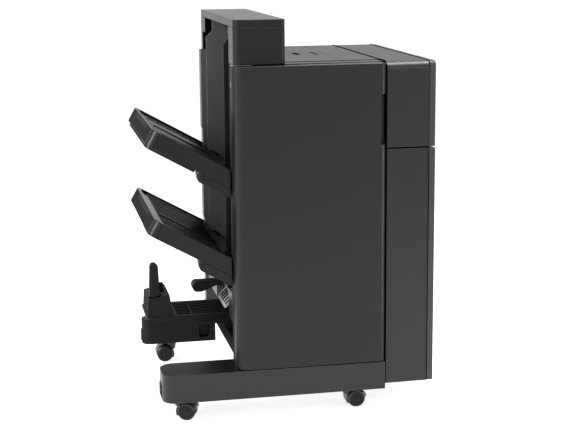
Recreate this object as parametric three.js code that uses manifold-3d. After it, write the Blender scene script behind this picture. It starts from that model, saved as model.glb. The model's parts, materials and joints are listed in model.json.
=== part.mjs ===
// Booklet maker: a floor-standing finisher with two stacking trays and a table for folded booklets.
// Millimetres, X to the right, Y to the back, Z up. While the pieces are made, the body's left face
// is X = 0, the front of the door is Y = 0 and the floor is Z = 0. The last lines move the origin to
// the middle of the base.
import * as THREE from 'three';
import { mergeVertices } from 'three/addons/utils/BufferGeometryUtils.js';
import Module from 'manifold-3d';

const wasm = await Module();
wasm.setup();

// Gaps and general walls
const seat = 0.3; // between faces that rest on each other
const play = 1; // beside pieces that move
const overrun = 8; // how far a cutter passes the face that it opens
const skin = 3; // moulded covers
const sheet = 2; // steel plates
const smallArcSteps = 4;
const largeArcSteps = 7;
const rodSides = 16;

// Body
const bodyWidth = 413.9;
const bodyDepth = 636.5;
const footClearance = 62.3;
const footHeight = 79.4;
const roofTop = 982;
const towerRise = 118;
const pathSetBack = 18.75; // from the middle of the body to the middle of the paper path
const overallHeight = roofTop + towerRise;
const floorLine = footClearance + footHeight;
const bodyMiddle = bodyDepth / 2 + pathSetBack;

// Feet and base
const footReach = 212.8;
const footWall = 4;
const frontFootDepth = 122;
const frontFootEndRadius = 40;
const rearFootDepth = 58.5;
const rearFootEndRadius = 26;
const rearFootInset = 18;
const beamHeight = 41.7;
const beamNotchLength = 12;
const beamNotchHeight = 18;
const railInset = 31;
const railWidth = 32;
const panHeight = 16;
const handRecess = { right: 2, width: 32, height: 36, drop: 29.7, depth: 14, radius: 10 };

// Casters
const casterInset = { frontLeft: 55, frontRight: 90.7, rearLeft: 88, rearRight: 76.7 };
const casterPlaces = [
  { name: 'front_left', x: casterInset.frontLeft - footReach, front: true, heading: -20 },
  { name: 'front_right', x: bodyWidth - casterInset.frontRight, front: true, heading: 0 },
  { name: 'rear_left', x: casterInset.rearLeft - footReach, front: false, heading: 180 },
  { name: 'rear_right', x: bodyWidth - casterInset.rearRight, front: false, heading: 180 },
];
const casterSocketWall = 7;
const caster = {
  wheelRadius: 25, wheelWidth: 19, wheelGap: 14, tread: 3, axleRadius: 4, trail: 18,
  webWidth: 9, hoodClearance: 1.5, hoodWall: 3.2, hoodFrontDegrees: 205, hoodBackDegrees: 20,
  neckRadius: 17, neckBottom: 37.5, stemRadius: 5.3, stemLength: 16, socketRadius: 6.1, axleHole: 4.8,
};
const casterBlockWidth = 74;

// Door
const door = {
  overhang: 7.7, thickness: 40, wall: 4, leftRadius: 34, rightRadius: 15, backRadius: 3, hingeRadius: 6,
  gapBelow: 1.5, gapAbove: 2, pocketLeft: 8, pocketRight: 26, pocketEnd: 12, linerThickness: 3,
  linerInset: 1, gripWidth: 17, gripDepth: 22, gripHeight: 136, gripTop: 84,
};
const hinge = {
  pinRadius: 2.8, holeRadius: 3.6, pinLength: 12, plate: 1.2, plateWidth: 50, washerRadius: 5.5,
};

// Frame around the door opening, inner panel and plates
const frameDepth = 39;
const frameDrop = 1.7;
const frameLeft = 16;
const frameRight = 14;
const frameBottom = 18;
const frameTopBand = 22;
const frameOpeningRadius = 12;
const panelThickness = 2.5;
const plateDrop = 27;
const plateTop = roofTop - plateDrop;
const rearPlateGap = 30;
const exitWallX = 60;
const plateGap = 3;
const crossbar = { width: 34, height: 18, drop: 40, fromLeft: 250 };

// Tray columns and guide plates
const columnDepth = 34;
const rearColumnDepth = 36.5;
const rearColumnY = bodyDepth - rearColumnDepth;
const rearColumnProud = 6;
const guide = {
  left: -4, frontY: 175, rearInset: 126.5, bottom: 335, shoulderRise: 42, peakRise: 61, peakFront: 10,
  peakRear: 15, fallFront: 19, fallRise: 52,
};
const guideRearY = bodyDepth - guide.rearInset;
const strip = { proud: 2.5, aboveRoot: 36, aboveLowerRoot: 1, belowRoot: 79 };
const trackDepth = 16;
const trackWidth = 50;
const trackX = 40;
const trackGroove = { width: 8, depth: 5 };
const trackRise = 48;

// Tower over the paper exit
const tower = {
  width: 140.4, front: 22.2, leftRadius: 20, rightRadius: 13, capHeight: 20.4, capWall: 4,
  frontReturn: 110, rearReturnInset: 80.5, rearReturnRise: 53, rearReturnLowInset: 32.5, bottomPlate: 3,
};

// Roof covers
const accessShare = 0.631; // of the roof beside the tower
const accessWidth = accessShare * (bodyWidth - tower.width);
const roofWall = 3;
const roofSkirt = 6;
const accessLip = 12;
const roofRearLedge = 36;
const fingerHole = { fromRight: 80, length: 72, width: 20 };
const roofSlot = { fromRight: 26, length: 92, width: 8 };

// Right covers
const right = {
  groove: 2.8, width: 119.3, front: 6, splitDrop: 236.5, splitGap: 4, bottom: 74,
  topRadius: 25, backRadius: 8, lowRadius: 8, trimWidth: 16.5, trimFront: 4, trimProud: 2.4,
  trimRadius: 15, plate: 2.2,
};
const inlet = { drop: 124, height: 20, width: 330 };
const inletZ = roofTop - inlet.drop;
const vents = { count: 9, width: 90, height: 5, pitch: 15, fromLeft: 120, top: 360 };

// Trays
const trayAngle = THREE.MathUtils.degToRad(29.3);
const upperRootShare = 0.5626; // of the height from the foot of the guide plates to the roof
const lowerRootShare = 0.1839;
const upperRootZ = guide.bottom + upperRootShare * (roofTop - guide.bottom);
const lowerRootZ = guide.bottom + lowerRootShare * (roofTop - guide.bottom);
const trayRibs = { upperWidth: 5, upperCount: 3, lowerWidth: 7, lowerCount: 15, height: 3, start: 24 };
const trayLevels = [
  { name: 'upper', rootZ: upperRootZ, ribs: trayRibs.upperCount, ribWidth: trayRibs.upperWidth, pan: true },
  { name: 'lower', rootZ: lowerRootZ, ribs: trayRibs.lowerCount, ribWidth: trayRibs.lowerWidth, pan: false },
];
const tray = {
  rootX: -10.8, front: 40, backInset: 56.5, length: 237, thickness: 45,
  rim: 9, rearRim: 13, endRim: 12, basin: 7, cornerRadius: 28, slotDrop: 20, slotHeight: 15, slotDepth: 150,
  endFront: 128, endBack: 124, endDrop: 9, endDepth: 4.5, endPlate: 3, endGap: 3.5,
  panDrop: 9, panInset: 22, panEndInset: 7, panRadius: 22, apronLength: 47, apronThickness: 6,
};
const trayBack = bodyDepth - tray.backInset;
const carriage = {
  inset: 2, length: 80, chamferRun: 11, chamferDrop: 17, slopeRun: 20, depth: 24, cornerRadius: 24,
  bracketDepth: 35, beamRun: 34, tongueWidth: 20, tongueHeight: 22,
};

// Booklet table and what stands on it
const table = {
  depth: 165, left: -228, topZ: 241, tipThickness: 8, rootThickness: 40,
  cornerRadius: 16, ribs: 8, ribWidth: 6, ribDepth: 4,
  ribLeft: -139, ribRight: 18, crossX: -96, crossWidth: 6, ribMargin: 12,
};
const tableFront = bodyMiddle - table.depth / 2;
const block = {
  left: -226, leftTop: -223, rightTop: -161, right: -150, leftHeight: 52, rightHeight: 64, depth: 133,
};
const notch = { fromRight: 9, width: 20, depth: 34, drop: 22, back: 50, lipHeight: 17, lipWall: 5 };
const paddle = {
  left: -218, baseWidth: 30, topWidth: 24, height: 97, depth: 20, setBack: 8, bevel: 9, foot: 13,
  pinDrop: 8, pinRadius: 2.6, pinHole: 3.4, earWidth: 5, tiltRoom: 5,
};
const arm = {
  tipX: -86, elbowX: 26, depth: 40, bottom: 292, thickness: 31, pivotX: 44, pivotZ: 366, bossRadius: 9,
  pinRadius: 3, pinHole: 3.8, earWidth: 4, linkWidth: 12, liftRoom: 7,
  noseLength: 31, taperRun: 40, taperRise: 16,
};
const exitGuide = {
  startX: 1, startZ: 252, setBack: 12.5, width: 137, thickness: 5, ribs: 6, ribWidth: 6, ribHeight: 4,
};
const exitGuideFront = tableFront + exitGuide.setBack;
const lowerCoverBottom = 252;
const lowerCoverBand = 9;
const bookletMouth = { bottom: 317, top: 350, width: 315 };

// Rollers and what the open door shows
const shaftRadius = 5;
const shaftHole = 5.7;
const shaftEnd = 9;
const feedRoller = { radius: 13, band: 42, bands: 4, x: 80, aboveRoot: 79, intakeInset: 41.9, intakeDrop: 2 };
const foldRoller = { radius: 14, band: 340, bands: 1, x: 84, nip: 0.8, lift: 0.3 };
const foldNipZ = (bookletMouth.bottom + bookletMouth.top) / 2 + foldRoller.lift;
const foldStep = foldRoller.radius + foldRoller.nip / 2;
const intakeZ = inletZ - feedRoller.intakeDrop - feedRoller.radius;
const rollers = [
  { ...feedRoller, name: 'upper_exit_roller', z: upperRootZ + feedRoller.aboveRoot },
  { ...feedRoller, name: 'lower_exit_roller', z: lowerRootZ + feedRoller.aboveRoot },
  { ...foldRoller, name: 'upper_fold_roller', z: foldNipZ + foldStep },
  { ...foldRoller, name: 'lower_fold_roller', z: foldNipZ - foldStep },
  { ...feedRoller, name: 'intake_roller', x: bodyWidth - feedRoller.intakeInset, z: intakeZ },
];
const exitSlot = { drop: 2, height: 24, width: 320 };
const knob = { radius: 19, length: 24, flutes: 12, fluteRadius: 3.2, hub: 10 };
const knobRoller = 'lower_fold_roller';
const fluteSides = 7;
const knobSides = 20;
const lever = {
  x: 236, belowRoot: 87, length: 74, width: 18, thickness: 9, bossRadius: 15, pinRadius: 5, tilt: -32,
};
const leverZ = upperRootZ - lever.belowRoot;
const cartridge = {
  x: 252, drop: 240, width: 84, height: 62, length: 96, front: 62, pull: 22, pullHeight: 14,
};
const cartridgeZ = roofTop - cartridge.drop;

// Solids
const toSolid = (geometry) => {
  const bare = geometry.clone();
  bare.deleteAttribute('normal');
  bare.deleteAttribute('uv');
  const merged = mergeVertices(bare, 1e-4);
  return new wasm.Manifold(new wasm.Mesh({
    numProp: 3,
    vertProperties: new Float32Array(merged.attributes.position.array),
    triVerts: new Uint32Array(merged.index.array),
  }));
};

const toGeometry = (solid) => {
  const mesh = solid.getMesh();
  const geometry = new THREE.BufferGeometry();
  geometry.setAttribute('position', new THREE.BufferAttribute(new Float32Array(mesh.vertProperties), 3));
  geometry.setIndex(new THREE.BufferAttribute(new Uint32Array(mesh.triVerts), 1));
  geometry.computeVertexNormals();
  return geometry;
};

const join = (solids) => solids.reduce((all, one) => all.add(one));
const cut = (solid, cutters) => cutters.reduce((left, one) => left.subtract(one), solid);

const outline = (points) => new THREE.Shape(points.map(([a, b]) => new THREE.Vector2(a, b)));

// A rectangle whose corners, in the order low-low, high-low, high-high, low-high, have these radii
const roundedRect = (a0, b0, a1, b1, radii) => {
  const [r0, r1, r2, r3] = Array.isArray(radii) ? radii : [radii, radii, radii, radii];
  const shape = new THREE.Shape();
  const corner = (a, b, radius, start) => {
    if (radius > 0) shape.absarc(a, b, radius, start, start + Math.PI / 2, false);
    else shape.lineTo(a, b);
  };
  shape.moveTo(a0 + r0, b0);
  shape.lineTo(a1 - r1, b0);
  corner(a1 - r1, b0 + r1, r1, -Math.PI / 2);
  shape.lineTo(a1, b1 - r2);
  corner(a1 - r2, b1 - r2, r2, 0);
  shape.lineTo(a0 + r3, b1);
  corner(a0 + r3, b1 - r3, r3, Math.PI / 2);
  shape.lineTo(a0, b0 + r0);
  corner(a0 + r0, b0 + r0, r0, Math.PI);
  return shape;
};

const extrude = (shape, depth, steps) =>
  new THREE.ExtrudeGeometry(shape, { depth, bevelEnabled: false, curveSegments: steps, steps: 1 });

// An outline in X and Y carried up, in X and Z carried back, and in Y and Z carried to the right
const prismZ = (shape, low, high, steps = smallArcSteps) =>
  toSolid(extrude(shape, high - low, steps).translate(0, 0, low));
const prismY = (shape, low, high, steps = smallArcSteps) =>
  toSolid(extrude(shape, high - low, steps).rotateX(Math.PI / 2).translate(0, high, 0));
const prismX = (shape, low, high, steps = smallArcSteps) => {
  const geometry = extrude(shape, high - low, steps);
  const turn = new THREE.Matrix4().makeBasis(
    new THREE.Vector3(0, 1, 0), new THREE.Vector3(0, 0, 1), new THREE.Vector3(1, 0, 0));
  return toSolid(geometry.applyMatrix4(turn).translate(low, 0, 0));
};
const box = (x0, x1, y0, y1, z0, z1) =>
  toSolid(new THREE.BoxGeometry(x1 - x0, y1 - y0, z1 - z0)
    .translate((x0 + x1) / 2, (y0 + y1) / 2, (z0 + z1) / 2));
const rodY = (x, z, radius, low, high, sides = rodSides) =>
  toSolid(new THREE.CylinderGeometry(radius, radius, high - low, sides).translate(x, (low + high) / 2, z));
const rodYAt = (x, z, radius, low, high, sides = rodSides) =>
  rodY(0, 0, radius, low, high, sides).translate([x, 0, z]);
const rodZ = (x, y, radius, low, high, sides = rodSides) =>
  toSolid(new THREE.CylinderGeometry(radius, radius, high - low, sides).rotateX(Math.PI / 2)
    .translate(x, y, (low + high) / 2));

const finish = (color, roughness, metalness) =>
  new THREE.MeshStandardMaterial({ color, roughness, metalness });
const finishes = {
  charcoal: finish(0x37383a, 0.5, 0),
  cover: finish(0x3f4042, 0.48, 0),
  tower: finish(0x2d2e30, 0.42, 0),
  tray: finish(0x29292b, 0.5, 0),
  deck: finish(0x333437, 0.5, 0),
  black: finish(0x161617, 0.55, 0),
  steel: finish(0xa9acae, 0.35, 0.9),
  plated: finish(0x7d8184, 0.4, 0.9),
  rubber: finish(0x1c1c1d, 0.85, 0),
  guideGrey: finish(0x9a9c9e, 0.5, 0),
  touch: finish(0x2f7d5a, 0.5, 0),
};

const model = new THREE.Group();
const add = (name, solid, material, parent = model) => {
  const mesh = new THREE.Mesh(toGeometry(solid), material);
  mesh.name = name;
  parent.add(mesh);
  return mesh;
};

// Places that several pieces share
const frameFront = door.thickness + play;
const frameBack = frameFront + frameDepth;
const frameTop = roofTop - frameDrop;
const panelBack = frameBack + seat + panelThickness;
const panTop = floorLine + seat + panHeight;
const panInside = floorLine + seat + sheet;
const frontPlateY = panelBack + seat;
const rearPlateY = bodyDepth - skin - rearPlateGap;
const plateLeft = exitWallX + skin + plateGap;
const plateRight = bodyWidth - frameRight + roofSkirt;
const columnBack = frameBack + columnDepth;
const rearFootFront = bodyDepth - rearFootDepth;
const beamBottom = floorLine - beamHeight;
const towerBottom = frameTop + seat;
const capBottom = overallHeight - tower.capHeight;
const towerTop = capBottom - seat;
const rightStart = bodyWidth + right.groove;
const rightEnd = rightStart + right.width;
const trimStart = rightEnd + seat;
const trimEnd = trimStart + right.trimWidth;
const coverBack = bodyDepth - skin;

const tableRight = exitWallX - seat;

// The way that paper takes through each wall on the right
const paperInlet = (low, high) => box(low, high, bodyMiddle - inlet.width / 2, bodyMiddle + inlet.width / 2,
  inletZ, inletZ + inlet.height);

const casterPoint = (place) => ({
  x: place.x,
  y: place.front ? frontFootDepth / 2 : bodyDepth - rearFootDepth / 2,
});

const footShell = (shape, inner, sockets) => {
  const shell = prismZ(shape, footClearance, floorLine, largeArcSteps);
  const hollow = prismZ(inner, footClearance + footWall, floorLine - footWall, largeArcSteps);
  const posts = sockets.map(({ x, y }) =>
    rodZ(x, y, caster.socketRadius + casterSocketWall, footClearance, floorLine - footWall));
  const bores = sockets.map(({ x, y }) =>
    rodZ(x, y, caster.socketRadius, footClearance - overrun, footClearance + caster.stemLength + play));
  return cut(shell.subtract(cut(hollow, posts)), bores);
};

const buildFeet = () => {
  const left = -footReach;
  const frontShape = roundedRect(left, 0, bodyWidth, frontFootDepth,
    [frontFootEndRadius, 0, 0, frontFootEndRadius]);
  const innerRadius = frontFootEndRadius - footWall;
  const frontInner = roundedRect(left + footWall, footWall, bodyWidth + overrun, frontFootDepth - footWall,
    [innerRadius, 0, 0, innerRadius]);
  const fronts = casterPlaces.filter((place) => place.front).map(casterPoint);
  add('front_foot', footShell(frontShape, frontInner, fronts), finishes.cover);

  const rearShape = roundedRect(left, rearFootFront, rearFootInset, bodyDepth,
    [rearFootEndRadius, 0, 0, rearFootEndRadius]);
  const rearRadius = rearFootEndRadius - footWall;
  const rearInner = roundedRect(left + footWall, rearFootFront + footWall, rearFootInset + overrun,
    bodyDepth - footWall, [rearRadius, 0, 0, rearRadius]);
  const recessRight = -handRecess.right;
  const recessLeft = recessRight - handRecess.width;
  const recessTop = floorLine - handRecess.drop;
  const recess = (grow) => roundedRect(recessLeft - grow, recessTop - handRecess.height - grow,
    recessRight + grow, recessTop + grow, [handRecess.radius, handRecess.radius, 0, 0]);
  const pocket = prismY(recess(0), rearFootFront - overrun, rearFootFront + handRecess.depth);
  const cup = prismY(recess(skin), rearFootFront + footWall / 2, rearFootFront + handRecess.depth + skin);
  const rears = casterPlaces.filter((place) => !place.front).map(casterPoint);
  const rearFoot = footShell(rearShape, rearInner, rears.slice(0, 1)).add(cup).subtract(pocket);
  add('rear_foot', rearFoot, finishes.cover);

  const beamLeft = rearFootInset + seat;
  const beamShape = outline([
    [beamLeft, beamBottom + beamNotchHeight], [beamLeft + beamNotchLength, beamBottom + beamNotchHeight],
    [beamLeft + beamNotchLength, beamBottom], [bodyWidth - seat, beamBottom], [bodyWidth - seat, floorLine],
    [beamLeft, floorLine]]);
  const [, rightCaster] = rears;
  const casterBlock = box(rightCaster.x - casterBlockWidth / 2, rightCaster.x + casterBlockWidth / 2,
    rearFootFront, coverBack, footClearance, beamBottom + skin);
  const beamHollow = box(beamLeft + beamNotchLength + footWall, bodyWidth - seat - footWall,
    rearFootFront + footWall, coverBack + overrun, beamBottom + footWall, floorLine - footWall);
  const blockHollow = box(rightCaster.x - casterBlockWidth / 2 + footWall,
    rightCaster.x + casterBlockWidth / 2 - footWall, rearFootFront + footWall, coverBack - footWall,
    footClearance - overrun, beamBottom);
  const post = rodZ(rightCaster.x, rightCaster.y, caster.socketRadius + casterSocketWall, footClearance,
    beamBottom + skin);
  const bore = rodZ(rightCaster.x, rightCaster.y, caster.socketRadius, footClearance - overrun,
    footClearance + caster.stemLength + play);
  const beam = prismY(beamShape, rearFootFront, coverBack);
  add('rear_beam', cut(cut(beam, [beamHollow]).add(cut(casterBlock, [blockHollow])).add(post), [bore]),
    finishes.plated);

  const railFront = frontFootDepth + seat;
  const railBack = rearFootFront - seat;
  const railSolid = (x, openRight) => {
    const openFrom = openRight ? x + footWall : x - overrun;
    const openTo = openRight ? x + railWidth + overrun : x + railWidth - footWall;
    return box(x, x + railWidth, railFront, railBack, beamBottom, floorLine)
      .subtract(box(openFrom, openTo, railFront - overrun, railBack + overrun, beamBottom + footWall,
        floorLine - footWall));
  };
  add('base_left_rail', railSolid(railInset, true), finishes.plated);
  add('base_right_rail', railSolid(bodyWidth - railInset - railWidth, false), finishes.plated);

  const panLeft = exitWallX;
  const panRight = bodyWidth - seat;
  const panFront = frameBack + seat;
  const panBack = coverBack - seat;
  const pan = box(panLeft, panRight, panFront, panBack, floorLine + seat, panTop)
    .subtract(box(panLeft + sheet, panRight - sheet, panFront + sheet, panBack - sheet, panInside,
      panTop + overrun));
  add('bottom_pan', pan, finishes.plated);
};

const buildCaster = (place) => {
  const holder = new THREE.Group();
  const { x, y } = casterPoint(place);
  holder.position.set(x, y, 0);
  holder.rotation.z = THREE.MathUtils.degToRad(place.heading);
  model.add(holder);

  const span = caster.wheelGap / 2 + caster.wheelWidth;
  const inner = caster.wheelGap / 2;
  const half = [
    [0, -span], [caster.wheelRadius - caster.tread, -span], [caster.wheelRadius, -span + caster.tread],
    [caster.wheelRadius, -inner - caster.tread], [caster.wheelRadius - caster.tread, -inner],
    [caster.axleRadius, -inner], [caster.axleRadius, inner], [caster.wheelRadius - caster.tread, inner],
    [caster.wheelRadius, inner + caster.tread], [caster.wheelRadius, span - caster.tread],
    [caster.wheelRadius - caster.tread, span], [0, span]];
  const profile = half.map(([radius, along]) => new THREE.Vector2(radius, along));
  const wheels = toSolid(new THREE.LatheGeometry(profile, rodSides))
    .translate([caster.trail, 0, caster.wheelRadius]);
  add(`caster_${place.name}_wheels`, wheels, finishes.rubber, holder);

  const hoodInner = caster.wheelRadius + caster.hoodClearance;
  const hoodOuter = hoodInner + caster.hoodWall;
  const from = THREE.MathUtils.degToRad(caster.hoodBackDegrees);
  const to = THREE.MathUtils.degToRad(caster.hoodFrontDegrees);
  const hood = new THREE.Shape();
  hood.absarc(caster.trail, caster.wheelRadius, hoodOuter, from, to, false);
  hood.absarc(caster.trail, caster.wheelRadius, hoodInner, to, from, true);
  const webShape = new THREE.Shape();
  webShape.absarc(caster.trail, caster.wheelRadius, hoodInner + caster.hoodWall / 2, from, to, false);
  webShape.lineTo(caster.trail, caster.wheelRadius - caster.axleHole - caster.hoodWall);
  const neckBottom = caster.neckBottom;
  const neckTop = footClearance - seat;
  const wheelRoom = [1, -1].map((side) => {
    const low = side > 0 ? caster.webWidth / 2 : -span - overrun;
    const high = side > 0 ? span + overrun : -caster.webWidth / 2;
    return rodYAt(caster.trail, caster.wheelRadius, hoodInner, low, high);
  });
  const neck = cut(rodZ(0, 0, caster.neckRadius, neckBottom, neckTop), wheelRoom);
  const fork = join([
    prismY(hood, -span, span, largeArcSteps),
    prismY(webShape, -caster.webWidth / 2, caster.webWidth / 2, largeArcSteps),
    neck,
    rodZ(0, 0, caster.stemRadius, neckTop - play, footClearance + caster.stemLength),
  ]).subtract(rodYAt(caster.trail, caster.wheelRadius, caster.axleHole, -caster.webWidth, caster.webWidth));
  add(`caster_${place.name}_fork`, fork, finishes.black, holder);
};

const buildFrames = () => {
  const ring = prismY(roundedRect(0, floorLine + seat, bodyWidth, frameTop, 0), frameFront, frameBack)
    .subtract(prismY(roundedRect(frameLeft, floorLine + seat + frameBottom, bodyWidth - frameRight,
      frameTop - frameTopBand, frameOpeningRadius), frameFront - overrun, frameBack + overrun));
  add('door_frame', ring, finishes.charcoal);

  const shaftHoles = (low, high) => rollers.map((roller) => rodYAt(roller.x, roller.z, shaftHole, low, high));
  const leverHole = (low, high) =>
    rodYAt(lever.x, leverZ, lever.pinRadius + shaftHole - shaftRadius, low, high);
  const cartridgeHole = (low, high) => box(cartridge.x - play, cartridge.x + cartridge.width + play,
    low, high, cartridgeZ - seat, cartridgeZ + cartridge.height + play);
  const panelLeft = exitWallX + seat;
  const panelRight = bodyWidth - seat;
  const panel = cut(box(panelLeft, panelRight, frameBack + seat, panelBack, panTop + seat, plateTop), [
    ...shaftHoles(frameBack - overrun, panelBack + overrun),
    leverHole(frameBack - overrun, panelBack + overrun),
    cartridgeHole(frameBack - overrun, panelBack + overrun),
  ]);
  add('inner_front_panel', panel, finishes.deck);

  const sidePlate = (y, extra) => cut(box(plateLeft, plateRight, y, y + sheet, panInside + seat, plateTop),
    [...shaftHoles(y - overrun, y + sheet + overrun), ...extra]);
  add('front_side_plate', sidePlate(frontPlateY, [
    leverHole(frontPlateY - overrun, frontPlateY + sheet + overrun),
    cartridgeHole(frontPlateY - overrun, frontPlateY + sheet + overrun),
  ]), finishes.steel);
  add('rear_side_plate', sidePlate(rearPlateY, []), finishes.steel);

  const barTop = plateTop - crossbar.drop;
  const barFront = frontPlateY + sheet + seat;
  const barBack = rearPlateY - seat;
  const bar = box(crossbar.fromLeft, crossbar.fromLeft + crossbar.width, barFront, barBack,
    barTop - crossbar.height, barTop)
    .subtract(box(crossbar.fromLeft + sheet, crossbar.fromLeft + crossbar.width - sheet, barFront - overrun,
      barBack + overrun, barTop - crossbar.height - overrun, barTop - sheet));
  add('upper_crossbar', bar, finishes.steel);

  const plateX = bodyWidth + seat;
  const rightPlate = box(plateX, plateX + right.plate, frameFront, coverBack, floorLine + seat, frameTop)
    .subtract(paperInlet(plateX - overrun, plateX + right.plate + overrun));
  add('right_frame_plate', rightPlate, finishes.black);
};

const buildLeftSide = () => {
  const columnTop = towerBottom - seat;
  const column = box(0, exitWallX - seat, frameBack + seat, columnBack, floorLine + seat, columnTop)
    .subtract(box(skin, exitWallX + overrun, frameBack + seat + skin, columnBack - skin,
      floorLine - overrun, columnTop + overrun));
  add('front_column_cover', column, finishes.charcoal);

  const rearLeft = -rearColumnProud;
  const stripPlaces = [
    { from: upperRootZ + strip.aboveRoot, to: columnTop },
    { from: lowerRootZ + strip.aboveLowerRoot, to: upperRootZ - strip.belowRoot },
  ];
  const strips = stripPlaces.map(({ from, to }) => prismY(outline([
    [rearLeft + skin, from], [rearLeft + skin, to], [rearLeft - strip.proud, to],
    [rearLeft - strip.proud, from + 2 * strip.proud], [rearLeft, from]]), rearColumnY, bodyDepth));
  const rearColumn = box(rearLeft, exitWallX - seat, rearColumnY, bodyDepth, floorLine + seat, columnTop)
    .subtract(box(rearLeft + skin, exitWallX + overrun, rearColumnY + skin, bodyDepth + overrun,
      floorLine - overrun, columnTop + overrun));
  add('rear_column_cover', join([rearColumn, ...strips]), finishes.charcoal);

  const wallEnd = exitWallX - seat;
  const shoulder = roofTop + guide.shoulderRise;
  const peak = roofTop + guide.peakRise;
  const fall = roofTop + guide.fallRise;
  const frontShape = outline([
    [guide.left, guide.bottom], [wallEnd, guide.bottom], [wallEnd, fall], [guide.fallFront, fall],
    [guide.peakFront, peak], [guide.left, shoulder]]);
  const rearShape = outline([
    [guide.left, guide.bottom], [wallEnd, guide.bottom], [wallEnd, towerTop], [guide.peakRear, towerTop],
    [guide.peakRear, peak], [guide.left, shoulder]]);
  add('front_guide_plate', prismY(frontShape, guide.frontY, guide.frontY + skin), finishes.charcoal);
  add('rear_guide_plate', prismY(rearShape, guideRearY, guideRearY + skin), finishes.charcoal);

  const trackTop = roofTop + trackRise;
  const track = (low, high) => {
    const middle = (low + high) / 2;
    return box(trackX, trackX + trackDepth, low, high, guide.bottom, trackTop)
      .subtract(box(trackX - overrun, trackX + trackGroove.depth, middle - trackGroove.width / 2,
        middle + trackGroove.width / 2, guide.bottom - overrun, trackTop + overrun));
  };
  add('front_tray_rail', track(guide.frontY - seat - trackWidth, guide.frontY - seat), finishes.steel);
  add('rear_tray_rail', track(guideRearY + skin + seat, guideRearY + skin + seat + trackWidth),
    finishes.steel);

  const wallFront = panelBack + seat;
  const wallBack = rearColumnY + skin;
  const cutX = [exitWallX - overrun, exitWallX + skin + overrun];
  const exitRollers = rollers.filter((roller) => roller.name.endsWith('exit_roller'));
  const slots = exitRollers.map((roller) => box(...cutX, bodyMiddle - exitSlot.width / 2,
    bodyMiddle + exitSlot.width / 2, roller.z - exitSlot.drop, roller.z - exitSlot.drop + exitSlot.height));
  const mouth = box(...cutX, bodyMiddle - bookletMouth.width / 2, bodyMiddle + bookletMouth.width / 2,
    bookletMouth.bottom, bookletMouth.top);
  const earEdges = [arm.depth / 2 + play, -arm.depth / 2 - play - arm.earWidth];
  const ears = earEdges.map((offset) => {
    const shape = new THREE.Shape();
    shape.moveTo(exitWallX + sheet, arm.pivotZ - arm.bossRadius);
    shape.absarc(arm.pivotX, arm.pivotZ, arm.bossRadius, -Math.PI / 2, -3 * Math.PI / 2, true);
    shape.lineTo(exitWallX + sheet, arm.pivotZ + arm.bossRadius);
    const ear = prismY(shape, bodyMiddle + offset, bodyMiddle + offset + arm.earWidth);
    return ear.subtract(rodYAt(arm.pivotX, arm.pivotZ, arm.pinHole, bodyMiddle + offset - overrun,
      bodyMiddle + offset + arm.earWidth + overrun));
  });
  const wall = cut(box(exitWallX, exitWallX + skin, wallFront, wallBack, panTop + seat, towerTop),
    [...slots, mouth]);
  add('exit_wall', join([wall, ...ears]), finishes.charcoal);

  const coverTop = guide.bottom - seat;
  const coverMouth = box(-overrun, skin + overrun, bodyMiddle - bookletMouth.width / 2,
    exitGuideFront + exitGuide.width + play, lowerCoverBottom - overrun, coverTop - lowerCoverBand);
  const armRoom = box(-overrun, skin + overrun, bodyMiddle - arm.depth / 2 - play,
    bodyMiddle + arm.depth / 2 + play, lowerCoverBottom - overrun, arm.bottom + arm.thickness + arm.liftRoom);
  const lower = box(0, skin, columnBack + seat, rearColumnY - seat, lowerCoverBottom, coverTop);
  add('left_lower_cover', cut(lower, [coverMouth, armRoom]), finishes.charcoal);
};

const buildTower = () => {
  const back = bodyDepth - seat;
  const radii = [tower.leftRadius, tower.rightRadius, tower.rightRadius, skin];
  const shape = roundedRect(0, tower.front, tower.width, back, radii);
  const innerRadii = radii.map((radius) => Math.max(radius - skin, 0));
  const inner = roundedRect(skin, tower.front + skin, tower.width - skin, back - skin, innerRadii);
  const shell = cut(prismZ(shape, towerBottom, towerTop, largeArcSteps), [
    prismZ(inner, towerBottom + tower.bottomPlate, towerTop + overrun, largeArcSteps),
    box(tower.leftRadius, tower.width - skin, frameBack, back - skin, towerBottom - overrun,
      towerBottom + tower.bottomPlate),
    box(-overrun, tower.leftRadius + overrun, tower.frontReturn, bodyDepth - tower.rearReturnInset,
      towerBottom - overrun, towerTop + overrun),
    box(-overrun, tower.leftRadius + overrun, tower.frontReturn, bodyDepth - tower.rearReturnLowInset,
      towerBottom - overrun, roofTop + tower.rearReturnRise),
  ]);
  add('tower_shell', shell, finishes.tower);
  const capInner = prismZ(inner, capBottom - overrun, overallHeight - tower.capWall, largeArcSteps);
  add('tower_cap', prismZ(shape, capBottom, overallHeight, largeArcSteps).subtract(capInner), finishes.tower);
};

const roofCover = (left, rightEdge) => {
  const front = frameBack + seat;
  const back = coverBack - seat;
  const bottom = plateTop + seat;
  const outer = box(left, rightEdge, front, back, bottom, roofTop);
  return outer.subtract(box(left + roofWall, rightEdge - roofWall, front + roofSkirt, back - roofRearLedge,
    bottom - overrun, roofTop - roofWall));
};

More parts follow.
